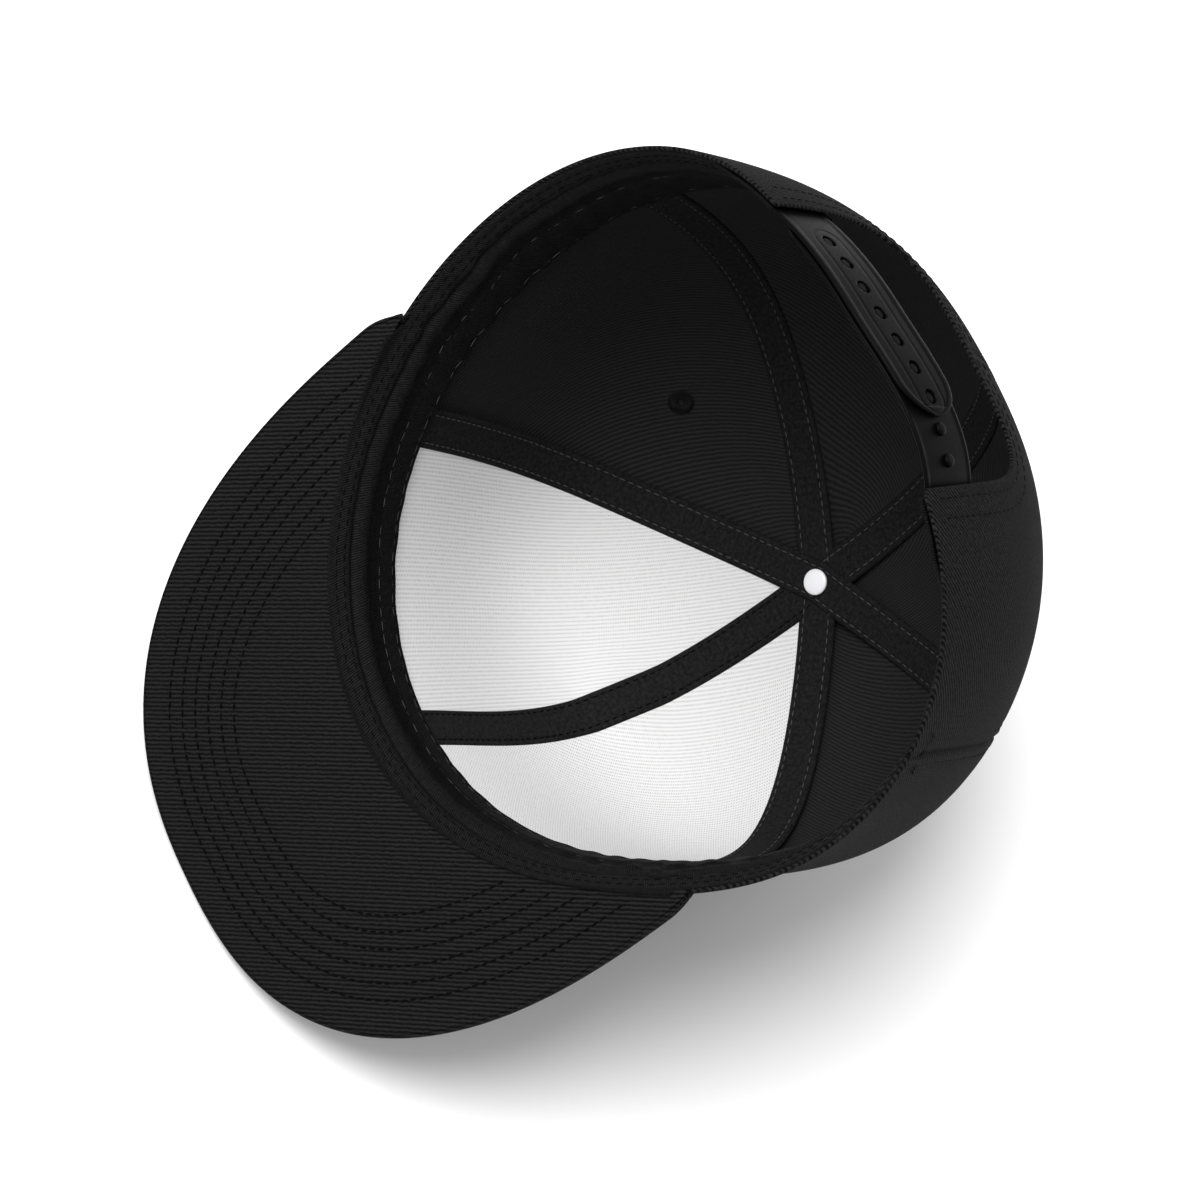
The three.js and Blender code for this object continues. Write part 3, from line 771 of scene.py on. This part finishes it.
# %% Panels
PANEL_COLUMNS = 72
PANEL_ROWS = 84
WEARER_SIDES = (("right", 1), ("left", -1))
PANELS = (
    ("front", straight_feet(0, FRONT_SIDE_SEAM)),
    ("side", straight_feet(FRONT_SIDE_SEAM, SIDE_BACK_SEAM)),
    ("back", back_feet),
)
for side_word, side in WEARER_SIDES:
    for place_word, feet in PANELS:
        node = f"{place_word}_{side_word}_panel"
        rows = PANEL_ROWS + FOLD_ROWS + HEM_ROWS
        piece = cloth_piece(node + "_twill", PANEL_COLUMNS, rows, panel_place(feet, side), PANEL_CLOTH)
        dress(piece, twill, "twill", node)
        piece.data.materials.append(twill_reverse)
        piece.modifiers["wall"].material_offset = 1

# %% [markdown]
# ## White stiffening
# The two front panels are backed with white buckram, an open weave stiffened with size. It lies
# flat against the twill, so it is the same grid a little deeper, with no hem.

# %% Buckram
BACKING_DEPTH = 1.5
BACKING_THICKNESS = 1.0
BUCKRAM_GRAIN = {"right": 40, "left": -3}
for side_word, side in WEARER_SIDES:
    flat_place = panel_place(PANELS[0][1], side, BACKING_DEPTH, fold=False, relief=False, foot_length=6)
    grain = radians(BUCKRAM_GRAIN[side_word])
    turn = np.array([[cos(grain), sin(grain)], [-sin(grain), cos(grain)]])

    def place(u, v):
        points, ways, cloth = flat_place(u, v)
        return points, ways, cloth @ turn

    piece = cloth_piece(f"front_{side_word}_buckram", 40, 60, place, BACKING_THICKNESS)
    dress(piece, buckram, "buckram", f"front_{side_word}_backing")

# %% [markdown]
# ## Seam tapes
# Each seam is covered inside by a folded tape, held by two rows of stitches. One tape runs right
# across under the rivet and the others pass beneath it.

# %% Tape sizes
TAPE_WIDTH = 11.5
TAPE_FOOT = 8
TAPE_ROW = 4.0
TAPE_CLOTH = 0.45
TAPE_STEPS = 90
FOOT_SINK = 0.6
TUCK = 1.1


def tape_line(azimuth, foot, depth_at):
    """Stations up a seam: points on the tape's inner face, ways in, and ways across."""
    total = float(cloth_length(azimuth))
    length = np.linspace(foot, total, TAPE_STEPS)
    share = share_at(azimuth, length)
    out_way = crown_out(azimuth, share)
    depth = depth_at(total - length)
    # a tape over buckram sinks where the sweatband holds its foot down
    depth = depth - FOOT_SINK * (1 - smooth(length, 10, 19)) * (depth > 2.5)
    points = crown(azimuth, share, depth)
    run = np.gradient(points, axis=0)
    across = unit(np.cross(run, out_way))
    return points, -out_way, across


def depth_over(base, at_apex, reach):
    """A tape's depth: close on what it covers, and deeper where the tapes cross under the rivet."""
    return lambda from_apex: base + (at_apex - base) * hump(from_apex, reach)


def tape_profile(u):
    """How far the tape's face falls away at a place across it, as its folded edges round off."""
    off = np.abs(u - 0.5) * TAPE_WIDTH
    edge = TAPE_WIDTH / 2 - off
    return 0.7 * hump(edge, 0.45) + 0.16 * hump(off - TAPE_ROW, 0.45)


ON_BUCKRAM = 3.3
ON_TWILL = 1.5
TAPES = {
    "through_seam_tape": [
        (-FRONT_SIDE_SEAM, TAPE_FOOT, depth_over(ON_BUCKRAM, 4.6, 14)),
        (SIDE_BACK_SEAM, TAPE_FOOT, depth_over(ON_TWILL, 4.6, 22)),
    ],
    "right_front_seam_tape": [(FRONT_SIDE_SEAM, TAPE_FOOT, depth_over(ON_BUCKRAM, 3.8, 14))],
    "left_back_seam_tape": [(-SIDE_BACK_SEAM, TAPE_FOOT, depth_over(ON_TWILL, 3.75, 22))],
    "front_seam_tape": [(0, TAPE_FOOT, depth_over(ON_BUCKRAM - 0.05, 3.7, 14))],
    "back_seam_tape": [(BACK_SEAM, ARCH_HEIGHT + 0.3, depth_over(ON_TWILL, 3.65, 22))],
}
light_rows, dark_rows = [], []
for name, legs in TAPES.items():
    lines = [tape_line(radians(azimuth), foot, depth) for azimuth, foot, depth in legs]
    points, ways, across = lines[0]
    two_legs = len(lines) == 2
    if two_legs:
        back_points, back_ways, back_across = lines[1]
        points = np.vstack([points, back_points[::-1][1:]])
        ways = np.vstack([ways, back_ways[::-1][1:]])
        across = np.vstack([across, -back_across[::-1][1:]])
    along = run_lengths(points)

    def place(u, v):
        at = v * along[-1]
        middle, way, side_way = (pick(at, along, values) for values in (points, ways, across))
        off = (u - 0.5) * TAPE_WIDTH
        tucked = TUCK * (hump(at, 0.8) + hump(along[-1] - at, 0.8) * two_legs)
        spot = middle + side_way * off[:, None] - way * (tape_profile(u) + tucked)[:, None]
        return spot, way, np.stack([off, at], -1)

    piece = cloth_piece(name + "_cloth", 36, len(points), place, TAPE_CLOTH)
    dress(piece, tape_cloth, "tape", name)
    for off in (-TAPE_ROW, TAPE_ROW):
        rows = dark_rows if name == "front_seam_tape" else light_rows
        rows.append(stitch_row(points + across * off + ways * 0.05, ways, *TAPE_STITCH))
stitches("tape_light_stitches", light_rows, light_thread)
stitches("tape_dark_stitches", dark_rows, dark_thread)

# %% [markdown]
# ## Sweatband
# The sweatband is satin, folded in half and sewn along the rim, so it shows ridges along its length,
# puckers where it was eased round the curve, and rows of stitches.

# %% Sweatband
BAND_HEIGHT = 27
BAND_FRONT_DROP = 6
BAND_END = BACK_SEAM - ARCH_HALF_ANGLE - 0.5
BAND_DEPTH = 5.1
BAND_CLOTH = 0.9
BAND_LIGHT_ROW = 14.6
BAND_TOP_ROW = 1.6
BAND_DARK_ROWS = (2.2, 4.2)


def pull(azimuth):
    """How far the band's rows wander up and down, most in two puckered places."""
    right = 1.6 * np.sin(azimuth * 21 + 0.6) * hump(azimuth - 1.08, 0.24)
    left = 1.1 * np.sin(azimuth * 17) * hump(azimuth + 1.45, 0.4)
    return right + left + 0.25 * np.sin(azimuth * 13 + 1)


def band_relief(azimuth, length, top):
    """How far the band's ridges, grooves and puckers stand in from its even depth."""
    length = length - pull(azimuth) * smooth(length, 3, 9) * (1 - smooth(length, top - 4, top))
    ridge = 0.45 * hump(length - 9.0, 1.2) + 0.3 * hump(length - 4.0, 1.5)
    groove = 0.8 * hump(length - 6.4, 0.45) + 0.35 * hump(length - BAND_LIGHT_ROW, 0.4)
    groove = groove + 0.35 * smooth(length, 10.5, 11.5) * (1 - smooth(length, 13.5, 14.2))
    edge = 0.3 * hump(top - length - BAND_TOP_ROW, 0.5)
    ripple = np.sin(azimuth * 61 + 2.2 * np.sin(azimuth * 7)) * np.sin(length * 0.33 + azimuth * 5)
    strength = 0.14 + 0.3 * hump(azimuth + 1.4, 0.45) + 0.2 * hump(azimuth - 1.1, 0.3)
    pucker = strength * ripple * smooth(length, 1.5, 6)
    return ridge - groove - edge + pucker


def band_foot(azimuth):
    """The length above the rim where the band starts: on the peak it starts at the peak's face."""
    reach = reach_at(azimuth) + rim_swell(azimuth)
    face = peak_underside(reach * np.sin(azimuth), reach * np.cos(azimuth)) - rim_at(azimuth)
    return 0.2 + (face - 0.35 - 0.2) * over_peak(azimuth)


def band_span(u):
    """A place's azimuth, and the lengths above the rim where the band starts and ends there."""
    azimuth = np.radians(BAND_END * (2 * u - 1))
    return azimuth, band_foot(azimuth), BAND_HEIGHT - BAND_FRONT_DROP * np.cos(azimuth)


def band_place(u, v):
    """Where the corners of the band's grid go."""
    azimuth, start, top = band_span(u)
    length = start + (top - start) * v
    over_strap = smooth(np.abs(np.degrees(azimuth)), 136, 142)
    foot = 1.7 - 0.5 * over_peak(azimuth) + np.where(azimuth < 0, 1.1, 1.9) * over_strap
    depth = foot + (BAND_DEPTH - foot) * smooth(length, start - 2, 15)
    depth = depth - 0.5 * hump(length - start, 0.35) * (1 - over_peak(azimuth))
    depth = depth + band_relief(azimuth, length, top) - 0.5 * hump(top - length, 0.4)
    share = share_at(azimuth, length)
    cloth = np.stack([azimuth * 95, length], -1)
    return crown(azimuth, share, depth), -crown_out(azimuth, share), cloth


piece = cloth_piece("sweatband_satin", 420, 44, band_place, BAND_CLOTH)
dress(piece, band_satin, "sweatband", "sweatband")


def band_line(from_rim=None, from_top=None):
    """A line along the band for stitches, at a length above the rim or below the band's top."""
    u = np.linspace(0.004, 0.996, 500)
    azimuth, start, top = band_span(u)
    length = from_rim + pull(azimuth) * (from_rim > 9) if from_rim is not None else top - from_top
    return band_place(u, (length - start) / (top - start))[:2]


light_lines = (band_line(from_rim=BAND_LIGHT_ROW), band_line(from_top=BAND_TOP_ROW))
light_rows = [stitch_row(*line, *BAND_LIGHT_STITCH) for line in light_lines]
stitches("sweatband_light_stitches", light_rows, light_thread)
dark_rows = [stitch_row(*band_line(from_rim=row), *BAND_DARK_STITCH) for row in BAND_DARK_ROWS]
stitches("sweatband_dark_stitches", dark_rows, dark_thread)

# %% [markdown]
# ## Peak
# The peak is a flat board between two covers of twill. The upper cover is turned round the edge, and
# six rows of stitches run parallel to the outline through both covers, each in a shallow channel.

# %% Peak covers
PEAK_ROWS = 6
FIRST_PEAK_ROW = 10
PEAK_ROW_PITCH = 4.5
STITCH_SINK = 0.06
TONGUE = 1.0
RIGHT_END_TURN = OUTLINE_TURN - 3.5
LEFT_END_TURN = OUTLINE_TURN + 2.4
SECTION_STEPS = 60
peak_edge = peak_outline(np.linspace(-OUTLINE_TURN, OUTLINE_TURN, 801))


def from_edge(x, y):
    """How far a place on the peak lies inside its outline."""
    plan = np.stack([x, y], -1)
    return np.array([np.linalg.norm(peak_edge - spot, axis=1).min() for spot in plan])


def peak_channel(inside):
    """How deep the channels of the stitch rows are at a way in from the outline."""
    rows = FIRST_PEAK_ROW + PEAK_ROW_PITCH * np.arange(PEAK_ROWS)
    return sum(0.24 * hump(inside - row, 0.5) for row in rows)


def peak_place(profile, upper):
    """Places a grid over a section of [share, back from the edge, height] points."""
    profile = np.array(profile, float)

    def place(u, v):
        turn = 2 * u - 1
        join = np.radians(turn * JOIN_TURN)
        reach = reach_at(join) + rim_swell(join) + (0.3 if upper else -TONGUE)
        inner = np.stack([reach * np.sin(join), reach * np.cos(join)], -1)
        outer = peak_outline(turn * np.where(turn > 0, RIGHT_END_TURN, LEFT_END_TURN))
        width = np.linalg.norm(outer - inner, axis=1)
        scale = np.minimum(1, width / 8)
        share, back, height = pick(v, np.linspace(0, 1, len(profile)), profile).T
        plan = inner + (outer - inner) * (share - share * back * scale / width)[:, None]
        x, y = plan.T
        inside = from_edge(x, y)
        on_top = height > PEAK_THICKNESS / 2
        height = height + np.where(on_top, -1, 1) * peak_channel(inside) * (inside > 6)
        points = np.stack([x, y, peak_underside(x, y) + height], -1)
        ways = np.stack([0 * x, 0 * x, np.where(on_top, 1.0, -1.0)], -1)
        cloth = np.stack([x, y + np.where(on_top, 0, 7)], -1)
        return points, ways, cloth

    return place


def spread(start, end):
    """The points of a straight run of a section, without its last one."""
    start, end = np.array(start), np.array(end)
    return [tuple(start + (end - start) * k / SECTION_STEPS) for k in range(SECTION_STEPS)]


TOP = PEAK_THICKNESS
upper_profile = (
    spread((0, 0, TOP), (1, 1.6, TOP))
    + [(1, 1.2, TOP - 0.03), (1, 0.75, TOP - 0.18), (1, 0.35, TOP - 0.5), (1, 0.08, TOP - 1.1)]
    + [(1, 0, TOP / 2), (1, 0.08, 1.1), (1, 0.3, 0.5), (1, 0.6, 0.16), (1, 0.9, 0.02)]
    + [(1, 1.15, 0.06), (1, 1.3, 0.3)]
)
lower_profile = (
    [(1, 1.25, 0.35), (1, 1.4, 0.15), (1, 1.6, 0.04)] + spread((1, 1.9, 0), (0, 0, 0)) + [(0, 0, 0)]
)
for name, profile, upper in (("upper", upper_profile, True), ("underside", lower_profile, False)):
    place = peak_place(profile, upper)
    piece = cloth_piece(f"peak_{name}_twill", 150, len(profile) - 1, place, 0.8)
    dress(piece, peak_twill, "twill", f"peak_{name}")

# %% Peak stitches
peak_rows = []
outline = peak_outline(np.linspace(-OUTLINE_TURN, OUTLINE_TURN, 401))
run = unit(np.gradient(outline, axis=0))
inward = np.stack([run[:, 1], -run[:, 0]], -1)
for row in range(PEAK_ROWS):
    line = outline + inward * (FIRST_PEAK_ROW + PEAK_ROW_PITCH * row)
    azimuth = np.arctan2(line[:, 0], line[:, 1])
    clear = np.linalg.norm(line, axis=1) > reach_at(azimuth) + 1.5
    line = line[clear & (line[:, 1] > 0)]
    under = peak_underside(line[:, 0], line[:, 1])
    for height, way in ((STITCH_SINK, -1.0), (PEAK_THICKNESS - STITCH_SINK, 1.0)):
        points = np.column_stack([line, under + height])
        ways = np.tile([0, 0, way], (len(line), 1))
        peak_rows.append(stitch_row(points, ways, *PEAK_STITCH))
stitches("peak_stitches", peak_rows, dark_thread)

# %% [markdown]
# ## Snap strap
# The strap is two moulded halves. The outer one has a raised border, a shallow frame round its row of
# holes and a round tip. The inner one carries the studs that snap into the holes.

# %% Strap shape
STRAP_WIDTH = 21
STRAP_MIDDLE = 13
STRAP_SKEW = 2
STRAP_BULGE = 1.8
STRAP_SPRING = 2.4
SPRING_REACH = 1.2
# brings the greatest value of x * (1 - x) ** 2 up to 1
SPRING_SCALE = 27 / 4
STRAP_TAB = 7
STUD_PITCH = 8.4
STUD_COUNT = 9
HOLE_COUNT = 7
FIRST_STUD = 9.4
STUD_RADIUS = 1.7
HOLE_RADIUS = 2.1
OUTER_DEPTH = 1.8
INNER_DEPTH = 3.4


def strap_point(azimuth_degrees, height, depth):
    """A point of the strap at an azimuth, a height from its middle line and a depth."""
    side = (azimuth_degrees - BACK_SEAM) / ARCH_HALF_ANGLE
    bow = np.maximum(np.cos(np.minimum(np.abs(side), 1) * pi / 2), 0)
    along = np.clip((side + 1) / SPRING_REACH, 0, 1)
    free = STRAP_BULGE * bow + SPRING_SCALE * STRAP_SPRING * along * (1 - along) ** 2
    azimuth = np.radians(azimuth_degrees)
    # the strap runs straight from corner to corner, and only its left end follows the swollen wall
    tied = rim_swell(np.radians(BACK_SEAM + ARCH_HALF_ANGLE)) * np.clip((side + 1) / 2, 0, 1)
    free = free + tied - rim_swell(azimuth)
    length = STRAP_MIDDLE - STRAP_SKEW * np.clip(side, -1, 1) + height
    return crown(azimuth, share_at(azimuth, length), depth - free)


strap_turns = np.linspace(BACK_SEAM - ARCH_HALF_ANGLE - 12, BACK_SEAM + ARCH_HALF_ANGLE + 12, 401)
strap_spots = strap_point(strap_turns, 0, 0)
strap_run = run_lengths(strap_spots)
strap_run -= np.interp(BACK_SEAM - ARCH_HALF_ANGLE, strap_turns, strap_run)
left_corner = float(np.interp(BACK_SEAM + ARCH_HALF_ANGLE, strap_turns, strap_run))


def strap_azimuth(length):
    """The strap's azimuth in degrees at a length from the wearer's right corner."""
    return np.interp(length, strap_run, strap_turns)


def strap_seat(length, depth):
    """A place on the strap's middle line at a depth, and the way straight out of the strap."""
    azimuth = strap_azimuth(length)
    spot, low, high = (strap_point(azimuth, 0, below) for below in (depth, 5, 0))
    return spot, unit(high - low)


def strap_band(name, root, tip, depth, thickness, relief):
    """A strap from its root to its rounded tip, both lengths from the wearer's right corner."""

    def place(u, v):
        along = 1 - (1 - v) ** 1.6
        at = root + (tip - root) * along
        left = np.minimum(np.abs(tip - at) / (STRAP_WIDTH / 2), 1)
        half = STRAP_WIDTH / 2 * np.maximum(np.sqrt(1 - (1 - left) ** 2), 0.12)
        height = half * (2 * u - 1)
        edge = half - np.abs(height)
        end = np.abs(tip - at)
        azimuth = strap_azimuth(at)
        low = strap_point(azimuth, height, depth + relief(at, height, np.minimum(edge, end)))
        way = unit(strap_point(azimuth, height, depth - 1) - strap_point(azimuth, height, depth))
        return low, way, np.stack([at, height], -1)

    return cloth_piece(name, 48, 220, place, thickness)


def seated(seat, out_way):
    """The move from a part's own axes to its seat on the cap, with its Z along the way out."""
    rise = Vector((0, 0, 1)).rotation_difference(Vector(lay_way(out_way)))
    return Matrix.Translation(Vector(lay(seat))) @ rise.to_matrix().to_4x4()


def turned_piece(name, profile, seat, out_way, segments):
    """Turns [radius, height] points round an axis at a seat on the cap."""
    bm = bmesh.new()
    start = [bm.verts.new((radius * MM, 0, height * MM)) for radius, height in profile]
    edges = [bm.edges.new(pair) for pair in zip(start, start[1:])]
    bmesh.ops.spin(
        bm, geom=start + edges, cent=(0, 0, 0), axis=(0, 0, 1), angle=2 * pi, steps=segments,
        use_merge=True,
    )
    bmesh.ops.remove_doubles(bm, verts=bm.verts[:], dist=1e-7)
    bmesh.ops.recalc_face_normals(bm, faces=bm.faces[:])
    bmesh.ops.transform(bm, matrix=seated(seat, out_way), verts=bm.verts[:])
    return new_object(name, bm)


def joined(name, pieces):
    """Joins several objects' meshes in one."""
    bm = bmesh.new()
    for piece in pieces:
        bm.from_mesh(piece.data)
        bpy.data.objects.remove(piece)
    return new_object(name, bm)


# %% Outer strap
stud_places = [FIRST_STUD + i * STUD_PITCH for i in range(STUD_COUNT)]
holes = stud_places[STUD_COUNT - HOLE_COUNT:]
left_root = left_corner + STRAP_TAB
outer_tip = holes[0] - 5.2
BORDER_HEIGHT = 0.25
HOLE_FRAME_RADIUS = 4.6


def bordered(edge, border):
    """How deep the field lies inside a raised border, with the strap's edge rounded off."""
    return BORDER_HEIGHT / (1 + np.exp(-(edge - border) / 0.12)) + 0.5 * hump(edge, 0.3)


def outer_relief(at, height, edge):
    """A raised border, and a groove that frames the row of holes."""
    to_row = np.abs(at - np.clip(at, holes[0], holes[-1]))
    groove = 0.16 * hump(np.hypot(to_row, height) - HOLE_FRAME_RADIUS, 0.3)
    return bordered(edge, 2.2) + groove


outer_strap = strap_band("outer_strap_moulding", left_root, outer_tip, OUTER_DEPTH, 1.0, outer_relief)
drill_profile = [(0, -3), (HOLE_RADIUS, -3), (HOLE_RADIUS, 3), (0, 3)]
cutter_parts = [
    turned_piece(f"hole_{i}", drill_profile, *strap_seat(at, OUTER_DEPTH), 28)
    for i, at in enumerate(holes)
]
cutter = joined("hole_cutter", cutter_parts)
drill = outer_strap.modifiers.new("holes", "BOOLEAN")
drill.operation = "DIFFERENCE"
drill.object = cutter
drill.solver = "EXACT"
applied(outer_strap)
bpy.data.objects.remove(cutter)
dress(outer_strap, strap_plastic, "strap_plastic", "outer_strap")

# %% Inner strap and studs
right_root = -STRAP_TAB
inner_tip = left_corner - 2


def inner_relief(at, height, edge):
    """A raised border alone."""
    return bordered(edge, 1.6)


inner_strap = strap_band("inner_strap_moulding", right_root, inner_tip, INNER_DEPTH, 1.1, inner_relief)
dress(inner_strap, strap_plastic, "strap_plastic", "inner_strap")
stud_profile = [
    (0, -0.2), (STUD_RADIUS, -0.2), (STUD_RADIUS, 0.75), (STUD_RADIUS * 0.94, 1.0),
    (STUD_RADIUS * 0.78, 1.2), (STUD_RADIUS * 0.5, 1.28), (0, 1.2),
]
studs = [
    turned_piece(f"stud_{i}", stud_profile, *strap_seat(at, INNER_DEPTH + BORDER_HEIGHT), 24)
    for i, at in enumerate(stud_places)
]
dress(joined("strap_studs", studs), strap_plastic, "strap_plastic")

# %% [markdown]
# ## Button, rivet and eyelets
# The button outside is a domed disc covered in twill, and its shank is closed inside by a white
# enamelled rivet. The eyelets are worked with thread round a small hole.

# %% Button and rivet
BUTTON_RADIUS = 7
BUTTON_HEIGHT = 5
RIVET_RADIUS = 3.65
RIVET_DEPTH = 4.9
SHANK_RADIUS = 1.3
SHANK_TOP = 2.5
apex = crown(0.0, 1.0)
UP = np.array([0, 0, 1.0])
dome = [(0, 0.3)] + [
    (BUTTON_RADIUS * cos(a) ** 0.7, 0.9 + (BUTTON_HEIGHT - 0.6) * sin(a))
    for a in np.linspace(0, pi / 2, 14)
]
dome[-1] = (0, 0.3 + BUTTON_HEIGHT)
dome.insert(1, (BUTTON_RADIUS * 0.93, 0.3))
button = turned_piece("button_twill", dome, apex, UP, 48)
grain = button.data.uv_layers.new(name="cloth")
for loop in button.data.loops:
    spot = button.data.vertices[loop.vertex_index].co
    grain.data[loop.index].uv = (spot.x / MM, spot.y / MM)
dress(button, twill, "twill", "button")
rivet_profile = [(0, -RIVET_DEPTH - 1.5)] + [
    (RIVET_RADIUS * sin(a), -RIVET_DEPTH - 0.55 - 0.95 * cos(a)) for a in np.linspace(0.3, pi / 2, 8)
]
shank_profile = [(SHANK_RADIUS, -RIVET_DEPTH), (SHANK_RADIUS, SHANK_TOP), (0, SHANK_TOP)]
rivet_profile += [(RIVET_RADIUS, -RIVET_DEPTH)] + shank_profile
rivet = turned_piece("rivet_enamel", rivet_profile, apex, UP, 48)
dress(rivet, enamel, "rivet", "rivet")

# %% Eyelets
EYELET_AZIMUTH = 80
EYELET_SHARE = 0.7
EYELET_OUTER = 4.0
EYELET_HOLE = 0.6
EYELET_THREADS = 44
EYELET_THREAD_RADIUS = 0.24
EYELET_RISE = 1.15
half_thread = (EYELET_OUTER - EYELET_HOLE) / 2
move = Matrix.Translation(((EYELET_HOLE + half_thread) * MM, 0, 0))
size = Matrix.Diagonal((half_thread * MM, EYELET_THREAD_RADIUS * MM, EYELET_RISE * MM, 1))
for side_word, side in WEARER_SIDES:
    azimuth = radians(side * EYELET_AZIMUTH)
    base = seated(crown(azimuth, EYELET_SHARE, 0.3), crown_out(azimuth, EYELET_SHARE))
    bm = bmesh.new()
    for k in range(EYELET_THREADS):
        turn = Matrix.Rotation(2 * pi * k / EYELET_THREADS, 4, "Z")
        bmesh.ops.create_uvsphere(
            bm, u_segments=10, v_segments=8, radius=1, matrix=base @ turn @ move @ size
        )
    dress(new_object(f"{side_word}_eyelet_thread", bm), eyelet_thread, "thread", f"{side_word}_eyelet")

# %% [markdown]
# ## Topstitching outside
# The rows beside each seam and round the opening at the back are sewn last, through all layers.

# %% Outside stitches
SEAMS = (0, FRONT_SIDE_SEAM, SIDE_BACK_SEAM, BACK_SEAM, -SIDE_BACK_SEAM, -FRONT_SIDE_SEAM)
OPENING_ROWS = (2.3, 7.0)


def crown_row(azimuth, share, depth):
    """A row of topstitching along a line on the crown."""
    return stitch_row(crown(azimuth, share, depth), crown_out(azimuth, share), *TOP_STITCH)


outside_rows = []
for seam_degrees in SEAMS:
    seam = radians(seam_degrees)
    foot = ARCH_HEIGHT + 2 if seam_degrees == BACK_SEAM else 3
    length = np.linspace(foot, float(cloth_length(seam)) - 9, 160)
    share = share_at(seam, length)
    radius = axis_distance(seam, share)
    for off in (-TOPSTITCH, TOPSTITCH):
        azimuth = seam + off / radius
        outside_rows.append(crown_row(azimuth, share_at(azimuth, length), 0.12))
for _, side in WEARER_SIDES:
    for inside in OPENING_ROWS:
        u = np.linspace(RIM_SHARE_OF_BACK + 0.03, 0.995, 200)
        foot, length = back_feet(u)
        past_round, past_up = edge_way(back_feet, u)
        azimuth = np.radians(foot)
        azimuth = azimuth - inside * past_round / reach_at(azimuth)
        share = share_at(azimuth, length - inside * past_up)
        outside_rows.append(crown_row(side * azimuth, share, 0))
stitches("crown_stitches", outside_rows, dark_thread)
